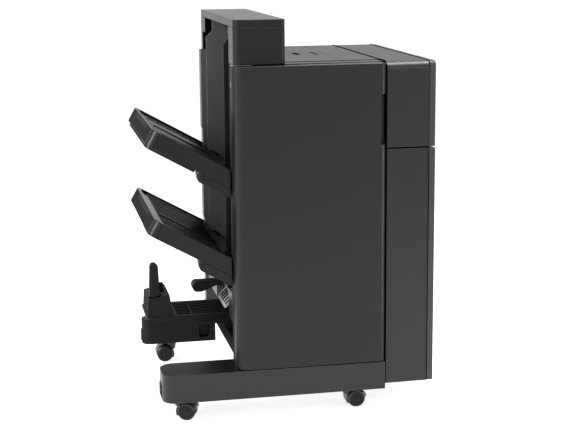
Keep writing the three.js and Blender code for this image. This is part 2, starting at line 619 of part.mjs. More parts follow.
const buildRoof = () => {
  const accessLeft = tower.width + play;
  const accessRight = accessLeft + accessWidth;
  const holeX = accessRight - fingerHole.fromRight;
  const oval = new THREE.Shape();
  oval.absellipse(holeX, bodyMiddle, fingerHole.width / 2, fingerHole.length / 2, 0, 2 * Math.PI, false, 0);
  const slotX = accessRight - roofSlot.fromRight;
  const slot = roundedRect(slotX - roofSlot.width / 2, bodyMiddle - roofSlot.length / 2,
    slotX + roofSlot.width / 2, bodyMiddle + roofSlot.length / 2, roofSlot.width / 2);
  const cover = cut(roofCover(accessLeft, accessRight), [
    prismZ(oval, plateTop, roofTop + overrun, largeArcSteps),
    prismZ(slot, plateTop, roofTop + overrun, smallArcSteps),
    box(accessRight - roofSkirt, accessRight + overrun, frameBack, coverBack, plateTop, roofTop - accessLip),
  ]);
  add('top_access_cover', cover, finishes.charcoal);
  add('top_fixed_cover', roofCover(accessRight + play, bodyWidth - seat), finishes.charcoal);
};

const buildRear = () => {
  const ventSlots = Array.from({ length: vents.count }, (unused, index) => {
    const z = vents.top - index * vents.pitch;
    return box(vents.fromLeft, vents.fromLeft + vents.width, coverBack - overrun, bodyDepth + overrun, z,
      z + vents.height);
  });
  const left = skin - rearColumnProud + seat;
  const rear = cut(box(left, bodyWidth - seat, coverBack, bodyDepth, floorLine + seat, frameTop), ventSlots);
  add('rear_cover', rear, finishes.charcoal);
};

const buildRightSide = () => {
  const front = right.front;
  const split = roofTop - right.splitDrop;
  const halfGap = right.splitGap / 2;
  const bent = (low, high, y0, y1, z0, z1, radii, openUp) => {
    const shape = roundedRect(y0, z0, y1, z1, radii);
    const shrink = radii.map((radius) => Math.max(radius - skin, 0));
    const inner = roundedRect(y0 + skin, openUp ? z0 + skin : z0 - overrun, y1 - skin,
      openUp ? z1 + overrun : z1 - skin, shrink);
    const wall = openUp === undefined ? 0 : skin;
    return prismX(shape, low, high, largeArcSteps)
      .subtract(prismX(inner, low + wall, high + overrun, largeArcSteps));
  };
  const upperRadii = [0, 0, right.backRadius, right.topRadius];
  const lowerRadii = [right.lowRadius, right.lowRadius, 0, 0];
  const upper = bent(rightStart, rightEnd, front, bodyDepth, split + halfGap, roofTop, upperRadii, false);
  add('right_upper_cover', upper.subtract(paperInlet(rightStart - overrun, rightStart + overrun)),
    finishes.cover);
  const lower = bent(rightStart, rightEnd, front, bodyDepth, right.bottom, split - halfGap, lowerRadii, true);
  add('right_lower_cover', lower, finishes.cover);

  const side = (name, y0, z0, z1, radii, hasSlot) => {
    const shape = roundedRect(y0, z0, bodyDepth, z1, radii);
    const inner = roundedRect(y0 + skin, z0 + skin, bodyDepth - skin, z1 - skin,
      radii.map((radius) => Math.max(radius - skin, 0)));
    const panel = prismX(shape, trimStart, trimEnd, largeArcSteps)
      .subtract(prismX(inner, trimStart - overrun, trimEnd - skin, largeArcSteps));
    add(name, hasSlot ? panel.subtract(paperInlet(trimStart - overrun, trimEnd + overrun)) : panel,
      finishes.cover);
  };
  const upperSide = [0, 0, right.backRadius, right.trimRadius];
  side('right_upper_side', right.trimFront, split + halfGap, roofTop, upperSide, true);
  side('right_lower_side', right.trimFront - right.trimProud, right.bottom + right.trimProud, split - halfGap,
    lowerRadii, false);
};

const trayLocal = (d, z) => (d - z * Math.sin(trayAngle)) / Math.cos(trayAngle);

const buildTray = (level) => {
  const holder = new THREE.Group();
  holder.position.set(tray.rootX, 0, level.rootZ);
  holder.rotation.y = trayAngle;
  model.add(holder);

  const low = -tray.thickness;
  const body = prismY(outline([
    [-tray.length, low], [trayLocal(0, low), low], [0, 0], [-tray.length, 0]]), tray.front, trayBack);
  const plan = prismZ(roundedRect(-tray.length, tray.front, tray.length, trayBack,
    [tray.cornerRadius, 0, 0, tray.cornerRadius]), low - overrun, overrun, largeArcSteps);
  const innerRadius = tray.cornerRadius - tray.rim;
  const basin = prismZ(roundedRect(-tray.length + tray.endRim, tray.front + tray.rim, tray.length,
    trayBack - tray.rearRim, [innerRadius, 0, 0, innerRadius]), -tray.basin, overrun, smallArcSteps);
  const endFront = tray.front + tray.endFront;
  const endBack = trayBack - tray.endBack;
  const pocket = box(-tray.length - overrun, -tray.length + tray.slotDepth, endFront, endBack,
    -tray.slotDrop - tray.slotHeight, -tray.slotDrop);
  const endRecess = box(-tray.length - overrun, -tray.length + tray.endDepth, endFront, endBack,
    low - overrun, -tray.endDrop);
  const floorWidth = trayBack - tray.rearRim - tray.front - tray.rim;
  const ribPitch = floorWidth / level.ribs;
  const ribLength = [-tray.length + tray.endRim + trayRibs.start, -trayRibs.start / 2];
  const ribs = Array.from({ length: level.ribs }, (unused, index) => {
    const middle = tray.front + tray.rim + (index + 1 / 2) * ribPitch;
    return box(...ribLength, middle - level.ribWidth / 2, middle + level.ribWidth / 2,
      -tray.basin - trayRibs.height, -tray.basin + trayRibs.height);
  });
  const shell = cut(body.intersect(plan), [basin, pocket, endRecess]);
  const panLeft = -tray.length + tray.panEndInset;
  const pan = prismZ(roundedRect(panLeft, tray.front + tray.panInset, -carriage.length - play,
    trayBack - tray.panInset, [tray.panRadius, 0, 0, tray.panRadius]), low - tray.panDrop, low + skin);
  // The apron carries the tray's floor on between the guide plates.
  const apron = box(-tray.basin, tray.apronLength, guide.frontY + skin + play, guideRearY - play,
    -tray.basin - tray.apronThickness, -tray.basin);
  add(`${level.name}_tray`, join([shell, apron, ...(level.pan ? [pan] : []), ...ribs]), finishes.tray, holder);

  const plateOut = -tray.length + tray.endDepth - play - tray.endPlate;
  const slide = box(plateOut, -tray.length + tray.slotDepth - play, endFront + play, endBack - play,
    -tray.slotDrop - tray.slotHeight + seat, -tray.slotDrop - play);
  const endPlate = box(plateOut, plateOut + tray.endPlate, endFront + play, endBack - play, low + play,
    -tray.endDrop - tray.endGap);
  add(`${level.name}_tray_extension`, slide.add(endPlate), finishes.deck, holder);

  const top = low - seat;
  const bottom = top - carriage.depth;
  const front = tray.front + carriage.inset;
  const back = trayBack - carriage.inset;
  const bracketShape = outline([
    [-carriage.length, top], [-carriage.length + carriage.chamferRun, top - carriage.chamferDrop],
    [-carriage.length + carriage.slopeRun, bottom],
    [trayLocal(0, bottom), bottom], [trayLocal(0, top), top]]);
  const bracketPlan = prismZ(roundedRect(-carriage.length, front, tray.length, back,
    [carriage.cornerRadius, 0, 0, carriage.cornerRadius]), bottom - overrun, top + overrun, largeArcSteps);
  const reach = trackX - seat - tray.rootX;
  const tongueTop = bottom + carriage.tongueHeight;
  const tongueShape = outline([
    [trayLocal(-overrun, bottom), bottom], [trayLocal(reach, bottom), bottom],
    [trayLocal(reach, tongueTop), tongueTop], [trayLocal(-overrun, tongueTop), tongueTop]]);
  const tongueMiddles = [guide.frontY - seat - trackWidth / 2, guideRearY + skin + seat + trackWidth / 2];
  const tongues = tongueMiddles.map((middle) =>
    prismY(tongueShape, middle - carriage.tongueWidth / 2, middle + carriage.tongueWidth / 2));
  const crossShape = outline([
    [-carriage.beamRun, top], [-carriage.beamRun, bottom],
    [trayLocal(0, bottom), bottom], [trayLocal(0, top), top]]);
  const brackets = join([
    prismY(bracketShape, front, front + carriage.bracketDepth),
    prismY(bracketShape, back - carriage.bracketDepth, back)]).intersect(bracketPlan);
  const carrier = join([brackets, prismY(crossShape, front, back), ...tongues]);
  add(`${level.name}_tray_carriage`, carrier, finishes.tray, holder);
};

const buildTable = () => {
  const back = tableFront + table.depth;
  const shape = outline([
    [table.left, table.topZ - table.tipThickness], [tableRight, table.topZ - table.rootThickness],
    [tableRight, table.topZ], [table.left, table.topZ]]);
  const plan = prismZ(roundedRect(table.left, tableFront, tableRight, back,
    [table.cornerRadius, 0, 0, table.cornerRadius]), 0, overallHeight, smallArcSteps);
  const pitch = (table.depth - 2 * table.ribMargin) / table.ribs;
  const grooves = Array.from({ length: table.ribs }, (unused, index) => {
    const y = tableFront + table.ribMargin + index * pitch;
    return box(table.ribLeft, table.ribRight, y, y + pitch - table.ribWidth, table.topZ - table.ribDepth,
      table.topZ + overrun);
  });
  const cross = box(table.crossX, table.crossX + table.crossWidth, tableFront + table.ribMargin,
    back - table.ribMargin - table.ribWidth, table.topZ - table.ribDepth, table.topZ + overrun);
  add('booklet_table', cut(prismY(shape, tableFront, back).intersect(plan), [...grooves, cross]),
    finishes.deck);

  const base = table.topZ + seat;
  const blockBack = tableFront + block.depth;
  const topAt = (x) => base + block.leftHeight
    + (block.rightHeight - block.leftHeight) * (x - block.leftTop) / (block.rightTop - block.leftTop);
  const bodyShape = outline([
    [block.left, base], [block.right, base], [block.rightTop, base + block.rightHeight],
    [block.leftTop, base + block.leftHeight]]);
  const notchRight = block.rightTop - notch.fromRight;
  const notchLeft = notchRight - notch.width;
  const notchY = tableFront + notch.back;
  const notchTop = base + block.rightHeight;
  const hole = box(notchLeft, notchRight, notchY, notchY + notch.depth, notchTop - notch.drop,
    notchTop + overrun);
  const notchLip = box(notchLeft, notchRight, notchY + notch.depth, notchY + notch.depth + notch.lipWall,
    topAt(notchLeft) - skin, notchTop + notch.lipHeight);
  const padFront = tableFront + paddle.setBack;
  const padBack = padFront + paddle.depth;
  const padRight = paddle.left + paddle.baseWidth;
  const padBase = topAt(padRight) + play;
  const pinX = paddle.left + paddle.baseWidth / 2;
  const pinZ = padBase - paddle.pinDrop;
  const bossRadius = paddle.pinDrop - play;
  const well = box(paddle.left - play, padRight + paddle.tiltRoom, padFront - play, padBack + play,
    pinZ - bossRadius - play, notchTop + overrun);
  const pinHoles = rodYAt(pinX, pinZ, paddle.pinHole, padFront - play - paddle.earWidth,
    padBack + play + paddle.earWidth);
  const bodySolid = cut(prismY(bodyShape, tableFront, blockBack).add(notchLip), [hole, well, pinHoles]);
  add('stop_block', bodySolid, finishes.deck);

  const padTop = padBase + paddle.height;
  const topLeft = paddle.left + (paddle.baseWidth - paddle.topWidth) / 2;
  const padShape = outline([
    [paddle.left, padBase], [padRight, padBase], [padRight, padBase + paddle.foot],
    [topLeft + paddle.topWidth, padTop - paddle.bevel], [topLeft + paddle.topWidth - paddle.bevel, padTop],
    [topLeft + paddle.bevel / 2, padTop], [topLeft, padTop - paddle.bevel],
    [paddle.left, padBase + paddle.foot]]);
  const pad = join([
    prismY(padShape, padFront, padBack),
    box(pinX - bossRadius, pinX + bossRadius, padFront, padBack, pinZ, padBase + play),
    rodYAt(pinX, pinZ, bossRadius, padFront, padBack),
    rodYAt(pinX, pinZ, paddle.pinRadius, padFront - paddle.earWidth, padBack + paddle.earWidth),
  ]);
  add('stop_paddle', pad, finishes.charcoal);
};

const buildExit = () => {
  const run = exitWallX - seat - exitGuide.startX;
  const back = exitGuideFront + exitGuide.width;
  const plate = outline([
    [exitGuide.startX, exitGuide.startZ], [exitGuide.startX + exitGuide.thickness, exitGuide.startZ],
    [exitGuide.startX + run, exitGuide.startZ + run - exitGuide.thickness],
    [exitGuide.startX + run, exitGuide.startZ + run]]);
  const pitch = (exitGuide.width - exitGuide.ribWidth) / (exitGuide.ribs - 1);
  const rise = exitGuide.ribHeight;
  const sink = exitGuide.thickness / 2;
  const ribLow = exitGuide.startX + rise;
  const ribHigh = exitGuide.startX + run - rise;
  const climb = exitGuide.startZ - exitGuide.startX;
  const rib = outline([
    [ribLow, ribLow + climb - sink], [ribHigh, ribHigh + climb - sink], [ribHigh, ribHigh + climb],
    [ribHigh - rise, ribHigh + climb], [ribLow, ribLow + climb + rise]]);
  const ribs = Array.from({ length: exitGuide.ribs }, (unused, index) =>
    prismY(rib, exitGuideFront + index * pitch, exitGuideFront + index * pitch + exitGuide.ribWidth));
  add('booklet_exit_guide', join([prismY(plate, exitGuideFront, back), ...ribs]), finishes.guideGrey);

  const front = bodyMiddle - arm.depth / 2;
  const rear = bodyMiddle + arm.depth / 2;
  const tipRadius = arm.thickness / 2;
  const tongueTop = arm.bottom + arm.thickness;
  const noseEnd = arm.tipX + arm.noseLength;
  const tip = new THREE.Shape();
  tip.moveTo(arm.elbowX, arm.bottom + arm.taperRise);
  tip.lineTo(arm.pivotX + arm.linkWidth / 2, arm.pivotZ);
  tip.lineTo(arm.pivotX - arm.linkWidth / 2, arm.pivotZ);
  tip.lineTo(arm.elbowX - arm.linkWidth, tongueTop);
  tip.lineTo(arm.tipX + tipRadius, tongueTop);
  tip.absarc(arm.tipX + tipRadius, arm.bottom + tipRadius, tipRadius, Math.PI / 2, 3 * Math.PI / 2, false);
  tip.lineTo(noseEnd, arm.bottom);
  tip.lineTo(noseEnd + arm.taperRun, arm.bottom + arm.taperRise);
  const solid = join([
    prismY(tip, front, rear, largeArcSteps),
    rodYAt(arm.pivotX, arm.pivotZ, arm.bossRadius - play, front, rear),
    rodYAt(arm.pivotX, arm.pivotZ, arm.pinRadius, front - play - arm.earWidth, rear + play + arm.earWidth),
  ]);
  add('booklet_arm', solid, finishes.black);
};

const buildDoor = () => {
  const left = -door.overhang;
  const bottom = floorLine + door.gapBelow;
  const top = frameTop - door.gapAbove;
  const shape = roundedRect(left, 0, bodyWidth, door.thickness,
    [door.leftRadius, door.rightRadius, door.backRadius, door.hingeRadius]);
  const pocketLeft = door.pocketLeft;
  const pocketRight = bodyWidth - door.pocketRight;
  const pocket = prismZ(roundedRect(pocketLeft, door.wall, pocketRight, door.thickness + overrun,
    [door.leftRadius - door.pocketLeft - door.overhang, 0, 0, 0]), bottom + door.pocketEnd,
      top - door.pocketEnd,
    largeArcSteps);
  const hingeX = left + door.hingeRadius;
  const hingeY = door.thickness - door.hingeRadius;
  const holes = [
    rodZ(hingeX, hingeY, hinge.holeRadius, bottom - overrun, bottom + hinge.pinLength + play),
    rodZ(hingeX, hingeY, hinge.holeRadius, top - hinge.pinLength - play, top + overrun),
  ];
  const gripTop = top - door.gripTop;
  const grip = prismZ(roundedRect(bodyWidth - door.gripWidth, door.wall - overrun, bodyWidth + overrun,
    door.gripDepth, [0, 0, 0, door.backRadius]), gripTop - door.gripHeight, gripTop);
  add('front_door', cut(prismZ(shape, bottom, top, largeArcSteps), [pocket, grip, ...holes]),
    finishes.charcoal);

  const linerBack = door.thickness - door.linerInset;
  add('door_liner', box(pocketLeft + seat, pocketRight - seat, linerBack - door.linerThickness, linerBack,
    bottom + door.pocketEnd + seat, top - door.pocketEnd - seat), finishes.deck);

  const lowerTop = floorLine + seat + hinge.plate / 2;
  const lower = rodZ(hingeX, hingeY, hinge.washerRadius, floorLine + seat, lowerTop)
    .add(rodZ(hingeX, hingeY, hinge.pinRadius, floorLine + seat, bottom + hinge.pinLength));
  add('door_hinge_lower', lower, finishes.steel);
  const plateHigh = frameTop - seat;
  const plateLow = plateHigh - hinge.plate;
  const upper = join([
    box(hingeX - hinge.washerRadius, hingeX + hinge.plateWidth, hingeY - hinge.washerRadius,
      frameFront - seat,
      plateLow, plateHigh),
    rodZ(hingeX, hingeY, hinge.pinRadius, top - hinge.pinLength, plateHigh),
  ]);
  add('door_hinge_upper', upper, finishes.steel);
};

const buildRollers = () => {
  rollers.forEach((roller) => {
    const inKnob = frameBack - play - knob.length + skin + seat;
    const shaftFront = roller.name === knobRoller ? inKnob : frameBack - play;
    const shaftBack = rearPlateY + sheet + shaftEnd;
    const shaft = rodYAt(roller.x, roller.z, shaftRadius, shaftFront, shaftBack);
    const pitch = exitSlot.width / roller.bands;
    const bands = Array.from({ length: roller.bands }, (unused, index) => {
      const middle = bodyMiddle - exitSlot.width / 2 + (index + 1 / 2) * pitch;
      return rodYAt(roller.x, roller.z, roller.radius, middle - roller.band / 2, middle + roller.band / 2);
    });
    add(roller.name, join([shaft, ...bands]), finishes.rubber);
  });

  const fold = rollers.find((roller) => roller.name === knobRoller);
  const knobBack = frameBack - play;
  const knobFront = knobBack - knob.length;
  const flutes = Array.from({ length: knob.flutes }, (unused, index) => {
    const angle = 2 * Math.PI * index / knob.flutes;
    return rodYAt(fold.x + knob.radius * Math.cos(angle), fold.z + knob.radius * Math.sin(angle),
      knob.fluteRadius, knobFront - overrun, knobBack - knob.hub, fluteSides);
  });
  const body = cut(rodYAt(fold.x, fold.z, knob.radius, knobFront, knobBack, knobSides), [
    ...flutes,
    rodYAt(fold.x, fold.z, shaftRadius + seat, knobFront + skin, knobBack + overrun)]);
  add('jam_knob', body, finishes.touch);

  const tilt = THREE.MathUtils.degToRad(lever.tilt);
  const holder = new THREE.Group();
  holder.position.set(lever.x, 0, leverZ);
  holder.rotation.y = tilt;
  model.add(holder);
  const leverBack = frameBack - play;
  const handle = roundedRect(-lever.width / 2, -lever.width / 2, lever.length, lever.width / 2,
    lever.width / 2);
  const leverSolid = join([
    prismY(handle, leverBack - lever.thickness, leverBack),
    rodY(0, 0, lever.bossRadius, leverBack - lever.thickness, leverBack),
    rodY(0, 0, lever.pinRadius, leverBack - play, frontPlateY + sheet + shaftEnd / 2)]);
  add('jam_lever', leverSolid, finishes.touch, holder);

  const right0 = cartridge.x + cartridge.width;
  const pull = box(cartridge.x + cartridge.width / 4, right0 - cartridge.width / 4, cartridge.front + skin,
    cartridge.front + cartridge.pull, cartridgeZ + cartridge.pullHeight,
    cartridgeZ + cartridge.height - cartridge.pullHeight);
  const cartridgeSolid = box(cartridge.x, right0, cartridge.front, cartridge.front + cartridge.length,
    cartridgeZ, cartridgeZ + cartridge.height)
    .subtract(pull.translate([0, -skin - overrun, 0]));
  add('staple_cartridge', cartridgeSolid, finishes.touch);
};

buildFeet();
casterPlaces.forEach(buildCaster);
buildFrames();
buildLeftSide();
buildTower();
buildRoof();
buildRear();
buildRightSide();
trayLevels.forEach(buildTray);
buildTable();
buildExit();
buildDoor();
buildRollers();

// The origin is the middle of the base of the box around the whole object
const whole = new THREE.Box3().setFromObject(model, true);
model.position.set(-(whole.min.x + whole.max.x) / 2, -(whole.min.y + whole.max.y) / 2, 0);

export default model;
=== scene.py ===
"""Dresses the booklet maker: covers, trays, booklet table, casters, inner works and a plain studio."""

import json
import math

import bmesh
import bpy
from mathutils import Matrix, Vector

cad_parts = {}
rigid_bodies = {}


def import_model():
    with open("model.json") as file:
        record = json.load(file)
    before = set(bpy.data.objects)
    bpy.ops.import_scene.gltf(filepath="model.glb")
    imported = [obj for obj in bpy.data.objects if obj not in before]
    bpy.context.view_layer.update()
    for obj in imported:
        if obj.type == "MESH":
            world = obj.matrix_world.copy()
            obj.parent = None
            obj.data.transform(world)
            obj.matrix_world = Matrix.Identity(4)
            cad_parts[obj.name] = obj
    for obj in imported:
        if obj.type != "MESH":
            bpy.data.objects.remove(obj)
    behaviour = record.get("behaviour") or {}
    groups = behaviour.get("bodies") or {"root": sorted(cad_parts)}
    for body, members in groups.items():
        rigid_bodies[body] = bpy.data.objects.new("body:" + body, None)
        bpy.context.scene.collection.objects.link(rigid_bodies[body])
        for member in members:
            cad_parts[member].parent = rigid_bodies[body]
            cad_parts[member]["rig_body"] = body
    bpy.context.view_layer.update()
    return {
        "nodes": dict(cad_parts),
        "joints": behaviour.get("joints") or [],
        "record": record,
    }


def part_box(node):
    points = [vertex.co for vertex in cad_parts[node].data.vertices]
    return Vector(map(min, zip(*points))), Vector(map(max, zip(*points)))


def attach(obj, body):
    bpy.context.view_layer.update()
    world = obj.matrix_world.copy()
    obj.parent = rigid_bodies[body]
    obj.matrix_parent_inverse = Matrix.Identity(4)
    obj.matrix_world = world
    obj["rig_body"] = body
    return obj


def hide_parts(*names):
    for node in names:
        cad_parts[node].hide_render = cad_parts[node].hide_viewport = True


bl_info = {
    "name": "Booklet Maker",
    "version": (1, 0, 0),
    "blender": (4, 5, 0),
    "location": "View3D > Sidebar > Booklet Maker",
    "description": "Finishes a booklet maker around its packed solids",
    "category": "Object",
}

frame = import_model()
JOINTS = {joint["name"]: joint for joint in frame["joints"]}
OPENINGS = {box["name"]: box for box in frame["record"]["physics"]["openings"]}
SLOTS = {part["node"]: part["material_slot"] for part in frame["record"]["subparts"]}

X, Y, Z = Vector((1, 0, 0)), Vector((0, 1, 0)), Vector((0, 0, 1))
WHITE = (1, 1, 1, 1)

# Vertices closer than this, in metres, are one

MERGE = 1e-5

# Edges that turn by more than these angles are sharp, or are kept between flat faces

SHARP_ANGLE = math.radians(32)
FLAT_ANGLE = math.radians(0.6)

# Cosines above which a face looks one way, fully or mostly

SAME_WAY = 0.99
MOSTLY = 0.7

# Least lengths, in metres, of the edges that are rounded on pieces with finer detail

LONG_EDGE = 0.02
LONG_PADDLE_EDGE = 0.008


# Shader sums


class Socket:
    """An output socket that takes part in Python sums with numbers and other sockets."""

    def __init__(self, shader, link):
        self.shader = shader
        self.link = link

    def combine(self, operation, first, second):
        return self.shader.node("ShaderNodeMath", {"operation": operation}, {0: first, 1: second})

    def __add__(self, other):
        return self.combine("ADD", self, other)

    def __radd__(self, other):
        return self.combine("ADD", other, self)

    def __mul__(self, other):
        return self.combine("MULTIPLY", self, other)

    def __rmul__(self, other):
        return self.combine("MULTIPLY", other, self)

    def over(self, other):
        return self.combine("MAXIMUM", self, other)


class Shader:
    """The node tree of one material or world, with one method that makes its nodes."""

    def __init__(self, owner):
        self.owner = owner
        owner.use_nodes = True
        self.tree = owner.node_tree
        self.tree.nodes.clear()

    def node(self, kind, settings=None, values=None, output=0):
        made = self.tree.nodes.new(kind)
        for key, value in (settings or {}).items():
            if key == "stops":
                self.set_stops(made, value)
            else:
                setattr(made, key, value)
        for key, value in (values or {}).items():
            socket = made.inputs[key]
            if isinstance(value, Socket):
                self.tree.links.new(value.link, socket)
            else:
                socket.default_value = value
        return Socket(self, made.outputs[output]) if made.outputs else made

    def set_stops(self, ramp_node, stops):
        elements = ramp_node.color_ramp.elements
        while len(elements) < len(stops):
            elements.new(1)
        for element, (place, level) in zip(elements, stops):
            element.position = place
            element.color = (level, level, level, 1)

    def object_place(self, scale=(1, 1, 1)):
        coordinates = self.node("ShaderNodeTexCoord", output="Object")
        return self.node("ShaderNodeMapping", {}, {"Vector": coordinates, "Scale": scale})

    def noise(self, scale, detail, place=None, roughness=0.5):
        vector = place or self.object_place()
        return self.node(
            "ShaderNodeTexNoise",
            {"noise_dimensions": "3D"},
            {"Vector": vector, "Scale": scale, "Detail": detail, "Roughness": roughness},
        )

    def cells(self, scale, output="Distance"):
        values = {"Vector": self.object_place(), "Scale": scale}
        return self.node("ShaderNodeTexVoronoi", {"feature": "F1"}, values, output=output)

    def ramp(self, factor, stops):
        return self.node("ShaderNodeValToRGB", {"stops": stops}, {"Fac": factor})

    def blend(self, factor, first, second):
        settings = {"data_type": "RGBA", "blend_type": "MIX"}
        return self.node("ShaderNodeMix", settings, {"Factor": factor, 6: first, 7: second}, output=2)

    def bump(self, height, distance, strength):
        return self.node(
            "ShaderNodeBump", {}, {"Height": height, "Distance": distance, "Strength": strength})

    def close(self, last, kind="ShaderNodeOutputMaterial"):
        self.node(kind, {}, {"Surface": last})
        return self.owner

    def surface(self, values):
        return self.close(self.node("ShaderNodeBsdfPrincipled", {}, values))


def new_shader(name):
    return Shader(bpy.data.materials.new(name))


def shade(color, share):
    """The same colour, lighter or darker by a share."""
    return tuple(min(1, part * share) for part in color[:3]) + (1,)


# Depths of grain in metres, shares, and mapping scales that stretch a pattern along one axis

PLASTIC_IOR = 1.5
GRAIN_DEPTH = 0.00005
RUBBER_GRAIN_DEPTH = 0.00006
DRAWN_GRAIN_DEPTH = 0.00004
PIT_SHARE = 0.7
FINE_GRAIN_SHARE = 1.7
DUST_SHARE = 1.6
WIPE_SPREAD = 0.1
PATCHES_UPRIGHT = (1, 1, 0.3)
LINT_ALONG_Y = (1, 0.3, 1)
DRAWN_ALONG_Y = (1, 0.04, 1)


def moulded(name, color, roughness, specular=0.3, grain=1500, mottle=0.05, relief=0.3):
    """Spark-textured moulded plastic: fine grain, faint flow clouds, and wiped patches in the gloss."""
    shader = new_shader(name)
    cloud = shader.noise(scale=6, detail=4)
    wipe = shader.noise(scale=4, detail=5, place=shader.object_place(PATCHES_UPRIGHT), roughness=0.62)
    pits = shader.cells(scale=grain)
    fine = shader.noise(scale=grain * FINE_GRAIN_SHARE, detail=2)
    dust = shader.ramp(shader.noise(scale=240, detail=2), stops=[(0.66, 0), (0.8, 0.22)])
    tint = shader.blend(cloud, shade(color, 1 - mottle), shade(color, 1 + mottle))
    tint = shader.blend(dust, tint, shade(color, DUST_SHARE))
    grain_height = pits * PIT_SHARE + fine * (1 - PIT_SHARE)
    return shader.surface({
        "Base Color": tint,
        "Roughness": roughness - WIPE_SPREAD / 2 + wipe * WIPE_SPREAD,
        "IOR": PLASTIC_IOR,
        "Specular IOR Level": specular,
        "Normal": shader.bump(grain_height, distance=GRAIN_DEPTH, strength=relief),
    })


def rubber(name, color, specular=0.3):
    """Dull black rubber with lint and a fine dry speckle."""
    shader = new_shader(name)
    dust = shader.noise(scale=60, detail=5)
    strands = shader.noise(scale=420, detail=3, place=shader.object_place(LINT_ALONG_Y))
    lint = shader.ramp(strands, stops=[(0.6, 0), (0.78, 0.5)])
    tint = shader.blend(dust * 0.5, color, shade(color, 1.7))
    tint = shader.blend(lint, tint, shade(color, 2.6))
    grain_height = shader.noise(scale=900, detail=2)
    return shader.surface({
        "Base Color": tint,
        "Roughness": 0.7 + dust * 0.18,
        "IOR": PLASTIC_IOR,
        "Specular IOR Level": specular,
        "Normal": shader.bump(grain_height, distance=RUBBER_GRAIN_DEPTH, strength=0.4),
    })


def plated(name, color, roughness=0.34):
    """Zinc-plated sheet steel with a drawn grain and faint crystal flecks."""
    shader = new_shader(name)
    drawn = shader.noise(scale=180, detail=3, place=shader.object_place(DRAWN_ALONG_Y))
    fleck = shader.node("ShaderNodeRGBToBW", {}, {"Color": shader.cells(scale=160, output="Color")})
    stain = shader.ramp(shader.noise(scale=12, detail=4), stops=[(0.5, 0), (0.8, 0.35)])
    tint = shader.blend(fleck * 0.5, shade(color, 0.88), shade(color, 1.08))
    tint = shader.blend(stain, tint, shade(color, 0.7))
    return shader.surface({
        "Base Color": tint,
        "Metallic": 1,
        "Roughness": roughness + drawn * 0.16,
        "Normal": shader.bump(drawn, distance=DRAWN_GRAIN_DEPTH, strength=0.3),
    })


def painted(name, color):
    """Powder-coated steel with a light orange peel."""
    shader = new_shader(name)
    peel = shader.noise(scale=420, detail=2)
    cloud = shader.noise(scale=9, detail=3)
    return shader.surface({
        "Base Color": shader.blend(cloud, shade(color, 0.93), shade(color, 1.07)),
        "Roughness": 0.42 + cloud * 0.1,
        "IOR": PLASTIC_IOR,
        "Specular IOR Level": 0.35,
        "Normal": shader.bump(peel, distance=GRAIN_DEPTH, strength=0.35),
    })


# Meshes


def start(node):
    """A merged copy of a CAD node's mesh, with its flat faces whole again."""
    mesh = bmesh.new()
    mesh.from_mesh(frame["nodes"][node].data)
    bmesh.ops.remove_doubles(mesh, verts=mesh.verts, dist=MERGE)
    bmesh.ops.dissolve_limit(
        mesh, angle_limit=FLAT_ANGLE, use_dissolve_boundaries=False, verts=mesh.verts, edges=mesh.edges,
        delimit={"NORMAL"},
    )
    return mesh


def convex(edge):
    return edge.calc_face_angle_signed() > 0


def longer_than(least):
    """Picks the convex edges above a least length."""
    return lambda edge: convex(edge) and edge.calc_length() > least


def round_edges(mesh, radius, segments, wanted=None):
    """Rounds the sharp edges, or those of them that are wanted."""
    edges = [
        edge for edge in mesh.edges
        if len(edge.link_faces) == 2 and edge.calc_face_angle() > SHARP_ANGLE
        and (wanted is None or wanted(edge))
    ]
    bmesh.ops.bevel(
        mesh, geom=edges, offset=radius, offset_type="OFFSET", segments=segments, profile=0.5, affect="EDGES",
        clamp_overlap=False, material=-1, loop_slide=False,
    )
    return mesh


def add_object(name, data):
    """Puts a new object with this data in the scene."""
    made = bpy.data.objects.new(name, data)
    bpy.context.scene.collection.objects.link(made)
    return made


def to_object(name, mesh, material):
    """Makes an object with one material out of a bmesh."""
    data = bpy.data.meshes.new(name)
    mesh.to_mesh(data)
    mesh.free()
    data.materials.append(material)
    return add_object(name, data)


def settle(name, mesh, body, slot, stands_for=(), finish=None):
    """Makes the piece's object, shades it, and seats it on its body."""
    piece = to_object(name, mesh, materials[finish or slot])
    piece.data.shade_smooth()
    piece.data.set_sharp_from_angle(angle=SHARP_ANGLE)
    weighted = piece.modifiers.new("Weighted Normal", "WEIGHTED_NORMAL")
    weighted.keep_sharp = True
    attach(piece, body)
    if stands_for:
        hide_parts(*stands_for)
    return piece


def body_of(node):
    return frame["nodes"][node]["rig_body"]


def dress(node, radius, segments=3, wanted=None, shape=None, finish=None):
    """A CAD node's own shape with rounded edges, and with the cuts that shape makes in it."""
    mesh = round_edges(start(node), radius, segments, wanted)
    if shape:
        shape(mesh)
    return settle(f"{node}_skin", mesh, body_of(node), SLOTS[node], [node], finish)


def finish_faces(skin, facing, finish):
    """Gives the faces that look one way a finish of their own."""
    index = len(skin.data.materials)
    skin.data.materials.append(materials[finish])
    for face in skin.data.polygons:
        if face.normal.dot(facing) > SAME_WAY:
            face.material_index = index


def gather(meshes):
    """One mesh out of several."""
    whole = bmesh.new()
    for mesh in meshes:
        data = bpy.data.meshes.new("part")
        mesh.to_mesh(data)
        mesh.free()
        whole.from_mesh(data)
        bpy.data.meshes.remove(data)
    return whole


def place(mesh, matrix):
    bmesh.ops.transform(mesh, matrix=matrix, verts=mesh.verts)
    return mesh


def bar(low, high, radius=0, segments=2):
    """A block between two corners with rounded edges."""
    low, high = Vector(low), Vector(high)
    stand = Matrix.Translation((low + high) / 2) @ Matrix.Diagonal((*(high - low), 1))
    mesh = bmesh.new()
    bmesh.ops.create_cube(mesh, size=1, matrix=stand)
    return round_edges(mesh, radius, segments) if radius else mesh


